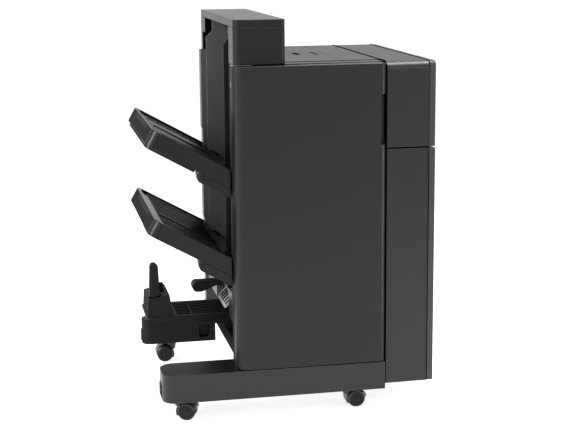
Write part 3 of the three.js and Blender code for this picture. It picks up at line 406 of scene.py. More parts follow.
AXIS_ORDERS = {
    "X": lambda a, b, c: (c, a, b),
    "Y": lambda a, b, c: (a, c, b),
    "Z": lambda a, b, c: (a, b, c),
}


def flat_face(mesh, points, across, level):
    """A face across one axis; its points run in the other two axes' order."""
    order = AXIS_ORDERS[across]
    return mesh.faces.new([mesh.verts.new(order(a, b, level)) for a, b in points])


def carry(mesh, faces, way):
    """Extrudes faces along a vector."""
    lifted = bmesh.ops.extrude_face_region(mesh, geom=faces)
    moved = [item for item in lifted["geom"] if isinstance(item, bmesh.types.BMVert)]
    bmesh.ops.translate(mesh, verts=moved, vec=way)
    bmesh.ops.recalc_face_normals(mesh, faces=mesh.faces)


def prism(points, across, low, high):
    """A flat outline carried along one axis."""
    mesh = bmesh.new()
    face = flat_face(mesh, points, across, low)
    carry(mesh, [face], AXIS_ORDERS[across](0, 0, high - low))
    return mesh


def turned(profile, centre, axis, steps=40):
    """A half section of (along, radius) points spun about an axis through the centre."""
    mesh = bmesh.new()
    verts = [mesh.verts.new((radius, 0, along)) for along, radius in profile]
    edges = [mesh.edges.new(pair) for pair in zip(verts, verts[1:])]
    bmesh.ops.spin(
        mesh, geom=verts + edges, cent=(0, 0, 0), axis=Z, angle=math.tau, steps=steps, use_merge=True,
        use_duplicate=False)
    bmesh.ops.remove_doubles(mesh, verts=mesh.verts, dist=MERGE)
    bmesh.ops.recalc_face_normals(mesh, faces=mesh.faces)
    turn = Z.rotation_difference(axis).to_matrix().to_4x4()
    return place(mesh, Matrix.Translation(centre) @ turn)


# Shares of a rim's or groove's width, and a screw head's half section in shares of its height and radius

RIM_EDGE_SHARE = 0.3
GROOVE_CUT_SHARES = (-0.5, -0.25, 0.25, 0.5)
GROOVE_FLOOR_SHARE = 0.3
SCREW_HEAD_SHARES = (
    (-1, 0), (-1, 0.6), (0, 1), (0.45, 0.97), (0.85, 0.72), (1, 0.42), (0.95, 0.36), (0.2, 0.3), (0.15, 0),
)


def surround(points, across, level, width, height):
    """A raised rim around a flat outline: its outer edge is the outline, and it stands up along the axis."""
    mesh = bmesh.new()
    face = flat_face(mesh, points, across, level)
    bmesh.ops.inset_region(mesh, faces=[face], thickness=width, use_even_offset=True, use_boundary=True)
    bmesh.ops.delete(mesh, geom=[face], context="FACES_ONLY")
    carry(mesh, mesh.faces[:], AXIS_ORDERS[across](0, 0, height))
    return round_edges(mesh, min(width, abs(height)) * RIM_EDGE_SHARE, segments=2)


def cup(points, low, high, wall):
    """A thin-walled cup, open at the top, inside a flat outline."""
    mesh = bmesh.new()
    base = mesh.faces.new([mesh.verts.new((x, y, low)) for x, y in points])
    lifted = bmesh.ops.extrude_edge_only(mesh, edges=base.edges[:])
    rim = [item for item in lifted["geom"] if isinstance(item, bmesh.types.BMVert)]
    bmesh.ops.translate(mesh, verts=rim, vec=(0, 0, high - low))
    bmesh.ops.recalc_face_normals(mesh, faces=mesh.faces)
    bmesh.ops.solidify(mesh, geom=mesh.faces[:], thickness=wall)
    bmesh.ops.recalc_face_normals(mesh, faces=mesh.faces)
    return mesh


def score(mesh, across, level, width, depth, facing):
    """Sinks a narrow groove into a mesh where the axis has this level, on the faces that look one way."""
    for share in GROOVE_CUT_SHARES:
        bmesh.ops.bisect_plane(
            mesh, geom=mesh.verts[:] + mesh.edges[:] + mesh.faces[:], dist=MERGE / 10,
            plane_co=across * (level + share * width), plane_no=across)
    mesh.normal_update()
    sunk = [
        vert for vert in mesh.verts
        if abs(vert.co.dot(across) - level) < GROOVE_FLOOR_SHARE * width
        and (facing is None or vert.normal.dot(facing) > MOSTLY)
    ]
    for vert in sunk:
        inward = vert.normal - across * vert.normal.dot(across)
        vert.co -= inward.normalized() * depth


def screw(centre, axis, radius, height):
    """A pan-head screw with a round drive pit."""
    profile = [(height * rise, radius * reach) for rise, reach in SCREW_HEAD_SHARES]
    return turned(profile, centre, axis, steps=20)


def ring(centre, half, steps):
    """The points of a flat ellipse around a centre."""
    turns = [step * math.tau / steps for step in range(steps)]
    return [(centre[0] + half[0] * math.cos(turn), centre[1] + half[1] * math.sin(turn)) for turn in turns]


# Settings


def length(name, description, default):
    return bpy.props.FloatProperty(
        name=name, description=description, subtype="DISTANCE", unit="LENGTH", precision=5, default=default)


def color(name, description, default):
    return bpy.props.FloatVectorProperty(
        name=name, description=description, subtype="COLOR", size=4, min=0, max=1, default=default)


class FinishSettings(bpy.types.PropertyGroup):
    """Colours of the mouldings and metals."""

    charcoal: color("Charcoal", "Colour of the door and the dark covers", (0.0098, 0.0098, 0.0102, 1))
    grey: color("Grey", "Colour of the right-hand covers and feet", (0.0072, 0.0072, 0.0075, 1))
    tower: color("Tower", "Colour of the tower", (0.008, 0.008, 0.0083, 1))
    tray: color("Tray", "Colour of the stacking trays", (0.0032, 0.0032, 0.0034, 1))
    table: color("Table", "Colour of the booklet table", (0.0052, 0.0052, 0.0054, 1))
    pale: color("Pale guide", "Colour of the ribbed guide under the booklet mouth", (0.42, 0.43, 0.44, 1))
    touch: color("Touch green", "Colour of the points that hands turn", (0.03, 0.2, 0.1, 1))
    zinc: color("Zinc", "Colour of the plated plates and rails", (0.55, 0.56, 0.57, 1))
    black: color("Black", "Colour of the casters and of painted steel", (0.009, 0.009, 0.0095, 1))
    roller: color("Roller", "Colour of the rubber rollers", (0.018, 0.018, 0.018, 1))
    tread: color("Tread", "Colour of the caster wheels and the feet's bumpers", (0.014, 0.014, 0.0145, 1))
    # Near-black used as painted shade in the cover gaps, the access cover's holes and the pale guide's slots,
    # and for the tray sensors' dark flags.
    seal: color("Seal", "Colour of the seals and other deep black parts", (0.0012, 0.0012, 0.0012, 1))


class CoverSettings(bpy.types.PropertyGroup):
    """Edges and seams of the covers."""

    edge: length("Cover edge", "Radius of the large covers' edges", 0.0016)
    thin_edge: length("Thin edge", "Radius of the edges of thin plates", 0.0009)
    door_edge: length("Door edge", "Radius of the front door's edges", 0.00208)
    cap_edge: length("Cap edge", "Radius of the tower cap's edges", 0.0024)
    guide_edge: length("Guide edge", "Radius of the edges of the two guide plates", 0.00126)
    column_edge: length("Column edge", "Radius of the rear column cover's edges", 0.00054)
    lever_edge: length("Lever edge", "Radius of the edges of the jam lever and the staple cartridge", 0.00108)
    knob_edge: length("Knob edge", "Radius of the jam knob's edges", 0.00045)
    groove: length("Groove", "Width of the seams scored into the plates", 0.0016)
    groove_depth: length("Groove depth", "Depth of the scored seams", 0.0009)
    cap_seam: length("Cap seam", "Distance from the tower's left face to the seam in its cap", 0.096)
    front_seam: length("Front plate seam", "Height of the seam in the front guide plate", 0.919)
    rear_seam: length("Rear plate seam", "Height of the seam in the rear guide plate", 0.891)


class FittingSettings(bpy.types.PropertyGroup):
    """Black strips of painted shadow in the cover gaps, bumpers, the hinge bracket, the recess rim, black
    cups of painted shade under the access cover's holes, a bright strip painting the rail's highlight, and
    screws.
    """

    # The gap strips below are black pieces that paint the shadow in the gaps between the covers, and their
    # bead paints the dark line along the roof.
    shade_strip_below: length("Seal depth", "How far the seals in the gaps lie below the covers' faces", 0.0015)
    shade_strip_gap: length("Seal clearance", "Gap between a seal and the covers beside it", 0.0003)
    shade_strip_corner: length("Seal corner", "Size of the slanted corner between the seals' front and top", 0.019)
    side_shade_strip_foot: length("Side seal foot", "Distance from the lower cover's foot to the side seal", 0.009)
    side_shade_strip_depth: length("Side seal depth", "Depth of the side seal's inner faces", 0.0045)
    split_shade_strip_depth: length("Split seal depth", "Depth of the seal between the right covers", 0.003)
    bead: length("Seal bead", "How far the seals stand above the roof", 0.0012)
    bead_lap: length("Seal lap", "How far the seals lie over the roof beside their gaps", 0.0012)
    # The cups below are black shells that paint the shade inside the access cover's finger hole and slot.
    cup_depth: length("Cup depth", "Depth of the black cups under the holes in the access cover", 0.009)
    cup_wall: length("Cup wall", "Wall of the black cups", 0.0006)
    cup_below: length("Cup drop", "How far the cups' rims lie below the access cover's top", 0.0006)
    hole_cup_x: length("Hole cup, across", "How far the finger hole's cup reaches past the hole in X", 0.0037)
    hole_cup_y: length("Hole cup, along", "How far the finger hole's cup reaches past the hole in Y", 0.0097)
    slot_cup: length("Slot cup", "How far the slot's cup reaches past the slot", 0.0008)
    # The rail strip below is a bright zinc strip that paints the highlight along the base rail's lower edge.
    strip: length("Rail strip", "Height of the bright edge along the base rail", 0.0034)
    strip_proud: length("Rail strip rise", "How far the bright edge stands out of the rail", 0.00085)
    strip_inset: length("Rail strip inset", "How far the bright edge stops from the rail's ends", 0.0016)
    bumper: length("Bumper", "Thickness of the rubber bumpers on the feet's ends", 0.0026)
    bumper_root: length("Bumper root", "How far the bumpers reach into the feet", 0.003)
    backing_edge: length("Backing edge", "Radius of the edges of the bumpers' backing", 0.0004)
    tab_below: length("Tab place", "Distance from the door frame's top to the bracket's foot", 0.062)
    tab_height: length("Tab height", "Height of the hinge bracket", 0.014)
    tab_reach: length("Tab reach", "How far the hinge bracket stands out to the left", 0.0042)
    tab_front: length("Tab front", "Distance from the door frame's front to the hinge bracket", 0.006)
    tab_bend: length("Tab bend", "Distance from the door frame's front to the bracket's bend", 0.019)
    tab_back: length("Tab back", "Distance from the door frame's front to the bracket's back end", 0.026)
    tab_lip: length("Tab lip", "Thickness of the bracket at its back end", 0.0008)
    tab_root: length("Tab root", "How far the bracket reaches into the door frame", 0.001)
    tab_edge: length("Tab edge", "Radius of the bracket's edges", 0.0006)
    tab_screw: length("Tab screw", "Radius of the bracket's screw head", 0.0026)
    tab_screw_rise: length("Tab screw rise", "Height of the bracket's screw head", 0.001)
    rim_right: length("Rim right", "Distance from the rear foot's right end to the recess rim", 0.0196)
    rim_left: length("Rim left", "Distance from the rear foot's right end to the rim's far side", 0.0532)
    rim_top: length("Rim top", "Distance from the rear foot's top to the recess rim", 0.0285)
    rim_bottom: length("Rim bottom", "Distance from the rear foot's top to the rim's bottom", 0.0669)
    rim_corner: length("Rim corner", "Radius of the recess rim's lower corners", 0.0102)
    rim_root: length("Rim root", "How far the recess rim reaches into the foot", 0.0004)
    rim: length("Rim", "Width of the recess rim, and how far it stands out", 0.0014)
    screw: length("Screw", "Radius of the rear cover's screw heads", 0.0034)
    screw_rise: length("Screw rise", "Height of the rear cover's screw heads", 0.0012)
    screw_inset: length("Screw inset", "Distance from the rear cover's edges to its screws", 0.012)
    screw_below: length("Screw seat", "Depth of the screws' seats in the rear cover", 0.0013)


class TraySettings(bpy.types.PropertyGroup):
    """The two stacking trays and the sheet sensors in their aprons."""

    slope: bpy.props.FloatProperty(
        name="Slope", description="Tilt of the trays", subtype="ANGLE", default=math.radians(29.3))
    length: length("Length", "Length of a tray along its slope, without the apron", 0.237)
    thickness: length("Thickness", "Height of a tray's side wall", 0.045)
    edge: length("Edge", "Radius of a tray's edges", 0.0016)
    plate_edge: length("Plate edge", "Radius of the edges of the carriages and extensions", 0.0008)
    basin: length("Basin", "Depth of the tray's floor below its rim", 0.007)
    upper_step: length("Upper step", "Distance from the upper tray's front to the step in its floor", 0.2641)
    lower_step: length("Lower step", "Distance from the lower tray's front to the step in its floor", 0.1955)
    upper_rise: length("Upper rise", "Height of the upper tray's step above its floor", 0.00126)
    lower_rise: length("Lower rise", "Height of the lower tray's step above its floor", 0.0048)
    step_width: length("Step width", "Width of the step across the tray", 0.0068)
    step_edge: length("Step edge", "Radius of the step's edges", 0.0006)
    step_start: length("Step start", "Distance from the tray's tip to the step's lower end", 0.037)
    step_stop: length("Step stop", "Distance from the apron to the step's upper end", 0.012)
    flag_along: length("Flag place", "Distance from the apron's start to the sensor's flag", 0.024)
    flag_aside: length("Flag distance", "Distance from the tray's back to the sensor's flag", 0.12)
    flag_inner: length("Flag bore", "Inner radius of the flag's arch", 0.0085)
    flag_outer: length("Flag radius", "Outer radius of the flag's arch", 0.0105)
    flag_half: length("Flag half width", "Half of the arch's width", 0.002)
    flag_sunk: length("Flag depth", "How far the arch's centre lies below the tray's floor", 0.0035)
    pad_start: length("Pad start", "Distance from the arch's centre to the sensor's pad", 0.004)
    pad_stop: length("Pad stop", "Distance from the arch's centre to the pad's far end", 0.0155)
    pad_half: length("Pad half width", "Half of the pad's width", 0.004)
    pad_gap: length("Pad gap", "Gap between the pad and the tray's floor", 0.0002)
    pad_top: length("Pad top", "Height of the pad's top above the tray's floor", 0.0042)
    pad_edge: length("Pad edge", "Radius of the pad's edges", 0.0012)


class TableSettings(bpy.types.PropertyGroup):
    """The booklet table, its stop block and the guides beside it."""

    edge: length("Edge", "Radius of the table's, the block's and the paddle's edges", 0.0012)
    guide_edge: length("Guide edge", "Radius of the pale guide's edges", 0.0006)
    arm_edge: length("Arm edge", "Radius of the booklet arm's edges", 0.0042)
    guide_angle: bpy.props.FloatProperty(
        name="Guide angle", description="Slope of the pale guide", subtype="ANGLE", default=math.radians(45))
    guide_plate: length("Guide plate", "Upright thickness of the pale guide's plate", 0.005)
    guide_rib: length("Guide rib", "Width of the pale guide's ribs", 0.006)
    # The slots below are black bars that paint the shade inside the pale guide's slots.
    slot_width: length("Slot width", "Width of the dark slots between the pale guide's ribs", 0.0185)
    slot_proud: length("Slot rise", "How far the slots' dark faces stand above the plate", 0.0005)
    slot_edge: length("Slot edge", "Radius of the edges of the slots' dark faces", 0.0004)
    lip_pitch: length("Lip pitch", "Distance from one finger rib on the notch's lip to the next", 0.0048)
    lip_right: length("Lip right", "Distance from the stop block's right end to the finger ribs", 0.0205)
    lip_back: length("Lip back", "Distance from the stop block's back to the lip's front face", 0.049)
    lip_foot: length("Lip foot", "Distance from the stop block's top to the ribs' lower ends", 0.0175)
    lip_top: length("Lip top", "Distance from the stop block's top to the ribs' upper ends", 0.0008)
    lip_proud: length("Lip rise", "How far the finger ribs stand out of the lip", 0.0012)
    lip_root: length("Lip root", "How far the finger ribs reach into the lip", 0.001)
    lip_edge: length("Lip edge", "Radius of the finger ribs' edges", 0.0005)


class CasterSettings(bpy.types.PropertyGroup):
    """The four hooded twin-wheel casters."""

    radius: length("Wheel radius", "Radius of each wheel", 0.025)
    half_width: length("Half width", "Half of the width across both wheels", 0.026)
    half_gap: length("Half gap", "Half of the gap between the two wheels", 0.007)
    face_relief: length("Face relief", "Depth of which the rings in a wheel's outer face are shares", 0.002)
    axle: length("Axle", "Radius of the axle between the wheels", 0.0042)
    hood: length("Hood", "Radius of the hood over the wheels", 0.0297)
    hood_gap: length("Hood gap", "Gap between the wheels' tread and the hood", 0.0012)
    hood_side_gap: length("Hood side gap", "How far the hood stands out past the wheels' faces", 0.0004)
    hood_shoulder: length("Hood shoulder", "Size of the hood's rounded outer corners", 0.0065)
    shoulder_in: length("Shoulder in", "How far the corner's middle lies in from the hood's side", 0.0022)
    shoulder_down: length("Shoulder down", "How far the corner's middle lies below the hood's crown", 0.0025)
    hood_lip: length("Hood lip", "How far the hood's sides reach down past its inner crown", 0.006)
    hood_wall: length("Hood wall", "Thickness of the hood's sides", 0.0018)
    hood_throat: length("Hood throat", "Size of the slant between the hood's side and inner crown", 0.0024)
    web_half: length("Web half width", "Half of the thickness of the web between the wheels", 0.0045)
    web_edge: length("Web edge", "Radius of the web's edges", 0.0008)
    neck: length("Neck", "Radius of the swivel neck", 0.019)
    neck_foot: length("Neck foot", "Height of the neck's lower end above the ground", 0.0385)
    collar: length("Collar", "Length of which the steps of the neck's collar are shares", 0.01)
    stem: length("Stem", "Radius of the stem over the neck", 0.0053)
    stem_tip: length("Stem tip", "Radius of the stem's slanted tip", 0.0046)
    stem_height: length("Stem height", "Height of the stem above the neck", 0.0162)
    stem_slant: length("Stem slant", "Height of the slant at the stem's tip", 0.0004)
    clearance: length("Clearance", "Gap between the neck and the foot", 0.0004)


class InsideSettings(bpy.types.PropertyGroup):
    """Small parts that the open door shows."""

    screw: length("Screw", "Radius of the inner panel's screw heads", 0.0036)
    screw_rise: length("Screw rise", "Height of the inner panel's screw heads", 0.0016)
    screw_inset: length("Screw inset", "Distance from the inner panel's edges to its screws", 0.02)
    screw_top: length("Top screws", "Distance from the inner panel's top to its upper screws", 0.03)
    screw_pitch: length("Side screws", "Distance between the screws up the panel's right edge", 0.26)
    rib_inset: length("Rib inset", "Distance from the liner's sides to its ribs' ends", 0.03)
    rib_half: length("Rib half height", "Half of the height of a rib of the liner", 0.004)
    rib_root: length("Rib root", "How far a rib reaches into the liner", 0.0006)
    rib_proud: length("Rib rise", "How far a rib stands out of the liner", 0.0008)
    rib_edge: length("Rib edge", "Radius of the edges of the liner's ribs", 0.0006)
    grip_half: length("Grip half width", "Half of the width of the cartridge's grip ribs", 0.017)
    grip_foot: length("Grip foot", "Distance from the cartridge's foot to its lowest grip rib", 0.0035)
    grip_pitch: length("Grip pitch", "Distance from one grip rib to the next", 0.0018)
    grip_proud: length("Grip rise", "How far the grip ribs stand out of the cartridge", 0.0012)
    grip_root: length("Grip root", "How far the grip ribs reach into the cartridge", 0.001)
    grip_edge: length("Grip edge", "Radius of the grip ribs' edges", 0.0003)


class StudioSettings(bpy.types.PropertyGroup):
    """Camera, floor and even light."""

    eye: bpy.props.FloatVectorProperty(
        name="Eye", description="Where the camera stands", subtype="XYZ", size=3, unit="LENGTH",
        default=(-0.7332, -3.8326, 1.2963))
    yaw: bpy.props.FloatProperty(
        name="Yaw", description="Camera's turn to the right", subtype="ANGLE", default=math.radians(11.43))
    pitch: bpy.props.FloatProperty(
        name="Pitch", description="Camera's tilt downward", subtype="ANGLE", default=math.radians(11.37))
    roll: bpy.props.FloatProperty(
        name="Roll", description="Camera's roll", subtype="ANGLE", default=math.radians(-0.5))
    lens: bpy.props.FloatProperty(
        name="Lens", description="Focal length in millimetres", default=84.88)
    film: bpy.props.FloatProperty(
        name="Film", description="Width of the camera's sensor in millimetres", default=36)
    sight: length("Sight", "Farthest distance that the camera sees", 100)
    floor_size: length("Floor", "Length of each side of the floor", 60)
    floor_dark: color("Darker floor", "Darker tone of the floor's faint mottling", (0.79, 0.79, 0.79, 1))
    floor_light: color("Lighter floor", "Lighter tone of the floor's faint mottling", (0.81, 0.81, 0.81, 1))
    fill: bpy.props.FloatProperty(
        name="Fill", description="Strength of the even light from all around", default=0.36)
    glow: bpy.props.FloatProperty(
        name="Floor glow", description="How much of its own light the camera sees in the floor", default=0.8)


materials = {}


def make_materials(values):
    """Every finish of the object, by the record's slot or by a name of its own."""
    materials.update({
        "dark_cover": moulded("Charcoal Moulding", values.charcoal, roughness=0.36, specular=0.26),
        "grey_cover": moulded("Grey Moulding", values.grey, roughness=0.3, specular=0.36),
        "tower_gloss": moulded("Tower Moulding", values.tower, roughness=0.34, specular=0.2),
        "tray_plastic": moulded("Tray Moulding", values.tray, roughness=0.29, specular=0.24, relief=0.06),
        # Painted light: a three times lighter copy of the tray moulding, with little reflection, for the
        # faces that look uphill and the stop block's left face, set to the tone that light gives them.
        "tray_end": moulded("Tray End Moulding", shade(values.tray, 3), roughness=0.8, specular=0.06),
        "table_plastic": moulded("Table Moulding", values.table, roughness=0.58, specular=0.2),
        "guide_plastic": moulded("Pale Rib Moulding", values.pale, roughness=0.42, specular=0.5, mottle=0.03),
        "touch_plastic": moulded("Touch Point Moulding", values.touch, roughness=0.38, specular=0.5),
        "painted_steel": painted("Dark Painted Steel", shade(values.black, 1.6)),
        "zinc_steel": plated("Zinc Plated Steel", values.zinc),
        "roller_rubber": rubber("Roller Rubber", values.roller),
        "caster_black": moulded("Caster Nylon", values.black, roughness=0.26, specular=0.5, grain=900),
        "caster_tread": rubber("Caster Tread", values.tread),
        # Painted light: an eleven times lighter copy of the charcoal for the rear guide plate, the rear
        # column cover and the exit wall deep in the bay, standing in for light that reaches them.
        "bay": moulded("Guide Moulding", shade(values.charcoal, 11), roughness=0.4),
        "side": moulded("Side Panel Moulding", shade(values.grey, 4.4), roughness=0.36, specular=0.34),
        "tray_floor": moulded("Tray Floor Moulding", values.tray, roughness=0.42, specular=0.12, relief=0.06),
        # Painted light: a five times lighter copy of the charcoal, without reflection, for the front column
        # cover's left faces, set to the tone that light gives them.
        "flank": moulded("Column Flank Moulding", shade(values.charcoal, 5), roughness=0.6, specular=0),
        "rail": moulded("Dull Rail Paint", shade(values.charcoal, 1.5), roughness=0.7, specular=0.02),
        "roof": moulded("Dull Roof Moulding", values.charcoal, roughness=0.38, specular=0.13),
        # Painted shade: this near-black finish fills the cover gaps, the access cover's holes and the guide's
        # slots; the tray sensors' flags use it too.
        "seal": rubber("Black Seal", values.seal, specular=0),
    })


class BookletOperator:
    bl_options = {"REGISTER", "UNDO"}


class BOOKLET_OT_covers(BookletOperator, bpy.types.Operator):
    """Makes the body's covers and feet with rounded edges and scored seams"""

    bl_idname = "booklet.covers"
    bl_label = "Covers and Feet"

    def execute(self, context):
        values = context.scene.booklet_covers

        def seam(across, level, facing=None):
            return lambda mesh: score(mesh, across, level, values.groove, values.groove_depth, facing)

        cap_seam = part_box("tower_cap")[0].x + values.cap_seam
        for node in ("door_frame", "rear_cover", "front_foot", "rear_foot"):
            dress(node, values.edge)
        for node in ("top_access_cover", "top_fixed_cover"):
            dress(node, values.thin_edge, finish="roof")
        finish_faces(dress("right_upper_cover", values.thin_edge), Z, "roof")
        # Painted light: the front column cover's left faces get the lighter flank copy.
        finish_faces(dress("front_column_cover", values.edge), -X, "flank")
        dress("right_lower_cover", values.thin_edge)
        for node in ("right_upper_side", "right_lower_side"):
            dress(node, values.thin_edge, finish="side")
        dress("tower_shell", values.edge, wanted=convex)
        dress("front_door", values.door_edge, segments=4)
        # Painted light: the rear column cover and the exit wall get the lighter bay copy.
        dress("rear_column_cover", values.column_edge, segments=2, finish="bay")
        dress("exit_wall", values.thin_edge, segments=2, finish="bay")
        dress("left_lower_cover", values.thin_edge, segments=2)
        dress("tower_cap", values.cap_edge, segments=4, shape=seam(X, cap_seam, Z))
        dress("front_guide_plate", values.guide_edge, shape=seam(Z, values.front_seam))
        # Painted light: the rear guide plate gets the lighter bay copy.
        dress("rear_guide_plate", values.guide_edge, shape=seam(Z, values.rear_seam), finish="bay")
        return {"FINISHED"}


# Counts of the fittings' small parts, and a bumper's sizes as shares of its foot, rib, pitch or thickness

BUMPER_RIBS = 4
BUMPER_HALF_SHARE = 0.16
BUMPER_BASE_SHARE = 0.12
BUMPER_HEIGHT_SHARE = 0.44
BUMPER_RIB_SHARE = 0.74
BUMPER_EDGE_SHARE = 0.35
BACKING_SHARE = 0.4
BACKING_HALF_SHARE = 1.2
BACKING_BELOW_SHARE = 0.3
BACKING_ABOVE_SHARE = 0.1
RIM_CORNER_STEPS = 6
CUP_STEPS = 40
SCREW_ROWS = 5


class BOOKLET_OT_fittings(BookletOperator, bpy.types.Operator):
    """Makes the black strips of painted shadow in the cover gaps, foot bumpers, hinge bracket, recess rim,
    black cups of painted shade, the rail's painted highlight strip and screws
    """

    bl_idname = "booklet.fittings"
    bl_label = "Small Fittings"

    def band(self, values, left, right, outline, inner):
        """A black strip of painted shadow that fills the gap between two covers a little below their faces.
        """
        front, back, low, high = outline
        inner_front, inner_top = inner
        corner = values.shade_strip_corner
        points = [
            (front, low), (front, high - corner), (front + corner, high), (back, high), (back, inner_top),
            (inner_front, inner_top), (inner_front, low)]
        return prism(points, "X", left, right)

    def gap_shade_strips(self, values):
        """Black strips of painted shadow in the gaps around the right-hand covers, with a low bead along the
        roof that paints the dark gap line there.
        """
        door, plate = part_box("front_door"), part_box("right_frame_plate")
        upper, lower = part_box("right_upper_cover"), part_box("right_lower_cover")
        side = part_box("right_upper_side")
        gap, lap = values.shade_strip_gap, values.bead_lap
        proud = upper[1].z + values.bead
        sunk, deep = upper[0].y + values.shade_strip_below, values.side_shade_strip_depth
        body_band = self.band(
            values, door[1].x + gap, upper[0].x - gap,
            (sunk, plate[1].y, plate[0].z, proud), (plate[0].y - gap, plate[1].z + gap))
        side_band = self.band(
            values, upper[1].x + gap, side[0].x - gap,
            (sunk, upper[1].y - values.shade_strip_below, lower[0].z + values.side_shade_strip_foot, proud),
            (upper[0].y + deep, upper[1].z - deep))
        split = bar(
            (upper[0].x + values.shade_strip_below, sunk, lower[1].z + gap),
            (upper[1].x - values.shade_strip_below, upper[0].y + values.split_shade_strip_depth, upper[0].z - gap))
        front = upper[0].y + values.shade_strip_corner
        roof = [
            bar((left - lap, front, upper[1].z + gap), (right + lap, plate[1].y, proud))
            for left, right in ((door[1].x, upper[0].x), (upper[1].x, side[0].x))
        ]
        gap_shade_strips = gather([body_band, side_band, split] + roof)
        # Painted shadow: near-black strips stand in for the shade inside the cover gaps.
        settle("cover_gap_seals", gap_shade_strips, "frame", "painted_steel", finish="seal")

    def bumpers(self, values):
        """Ribbed rubber bumpers on the left ends of the feet."""
        for foot in ("front_foot", "rear_foot"):
            low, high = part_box(foot)
            width, height = high.y - low.y, high.z - low.z
            middle = (low.y + high.y) / 2
            half = width * BUMPER_HALF_SHARE
            pitch = height * BUMPER_HEIGHT_SHARE / BUMPER_RIBS
            base = low.z + height * BUMPER_BASE_SHARE
            face, root = low.x - values.bumper, low.x + values.bumper_root
            ribs = [
                bar((face, middle - half, base + row * pitch),
                    (root, middle + half, base + (row + BUMPER_RIB_SHARE) * pitch),
                    values.bumper * BUMPER_EDGE_SHARE)
                for row in range(BUMPER_RIBS)
            ]
            wide = half * BACKING_HALF_SHARE
            top = base + (BUMPER_RIBS + BACKING_ABOVE_SHARE) * pitch
            backing = bar(
                (low.x - values.bumper * BACKING_SHARE, middle - wide, base - pitch * BACKING_BELOW_SHARE),
                (root, middle + wide, top), values.backing_edge)
            settle(f"{foot}_bumper", gather(ribs + [backing]), "frame", "caster_tread")

    def bracket(self, values):
        """The bright folded tab on the door frame's left edge, beside the upper hinge."""
        low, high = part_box("door_frame")
        base = high.z - values.tab_below
        face, root = low.x - values.tab_reach, low.x + values.tab_root
        front, bend, back = (low.y + run for run in (values.tab_front, values.tab_bend, values.tab_back))
        fold = [(face, front), (face, bend), (low.x - values.tab_lip, back), (root, back), (root, front)]
        tab = round_edges(prism(fold, "Z", base, base + values.tab_height), values.tab_edge, segments=2)
        middle = (face, (front + bend) / 2, base + values.tab_height / 2)
        head = screw(middle, -X, values.tab_screw, values.tab_screw_rise)
        settle("hinge_bracket", gather([tab, head]), "frame", "zinc_steel")

    def recess_rim(self, values):
        """The raised rim around the hand recess in the rear foot."""
        low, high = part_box("rear_foot")
        right, left = high.x - values.rim_right, high.x - values.rim_left
        top, bottom = high.z - values.rim_top, high.z - values.rim_bottom
        corner = values.rim_corner
        turns = [math.radians(90) * step / RIM_CORNER_STEPS for step in range(RIM_CORNER_STEPS + 1)]
        points = [(left, top), (left, bottom + corner)]
        points += [
            (left + corner - corner * math.cos(turn), bottom + corner - corner * math.sin(turn))
            for turn in turns[1:]
        ]
        points += [
            (right - corner + corner * math.sin(turn), bottom + corner - corner * math.cos(turn))
            for turn in turns
        ]
        points += [(right, top)]
        rim = surround(points, "Y", low.y + values.rim_root, values.rim, -values.rim)
        settle("hand_recess_rim", rim, "frame", "grey_cover")

    def cups(self, values):
        """Black cups of painted shade under the finger hole and the slot in the access cover."""
        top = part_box("top_access_cover")[1].z - values.cup_below
        reaches = {
            "cover_finger_hole": (values.hole_cup_x, values.hole_cup_y),
            "cover_slot": (values.slot_cup, values.slot_cup),
        }
        made = []
        for name, reach in reaches.items():
            low, high = OPENINGS[name]["box_m"]
            centre = [(start + stop) / 2 for start, stop in zip(low, high)]
            half = [(stop - start) / 2 + more for start, stop, more in zip(low, high, reach)]
            outline = ring(centre, half, CUP_STEPS)
            made.append(cup(outline, top - values.cup_depth, top, values.cup_wall))
        body = body_of("top_access_cover")
        # Painted shade: the black cups stand in for the dark inside the holes.
        settle("access_cover_cups", gather(made), body, "painted_steel", finish="seal")

    def rail_highlight_strip(self, values):
        """A bright zinc strip along the foot of the left base rail, a painted highlight for the light along
        its lower edge.
        """
        low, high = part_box("base_left_rail")
        inset = values.strip_inset
        strip = bar((low.x - values.strip_proud, low.y + inset, low.z),
                    (low.x + inset, high.y - inset, low.z + values.strip))
        # Painted highlight: the zinc strip stands in for the light along the rail's edge.
        settle("base_rail_edge", strip, "frame", "zinc_steel")

    def screws(self, values):
        """Screw heads down both sides of the rear cover."""
        low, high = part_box("rear_cover")
        inset = values.screw_inset
        pitch = (high.z - low.z - 2 * inset) / (SCREW_ROWS - 1)
        places = [
            (side, high.y - values.screw_below, low.z + inset + row * pitch)
            for side in (low.x + inset, high.x - inset)
            for row in range(SCREW_ROWS)
        ]
        heads = [screw(spot, Y, values.screw, values.screw_rise) for spot in places]
        settle("rear_cover_screws", gather(heads), "frame", "zinc_steel")

    def execute(self, context):
        values = context.scene.booklet_fittings
        for make in (
            self.gap_shade_strips, self.bumpers, self.bracket, self.recess_rim, self.cups, self.rail_highlight_strip, self.screws,
        ):
            make(values)
        return {"FINISHED"}


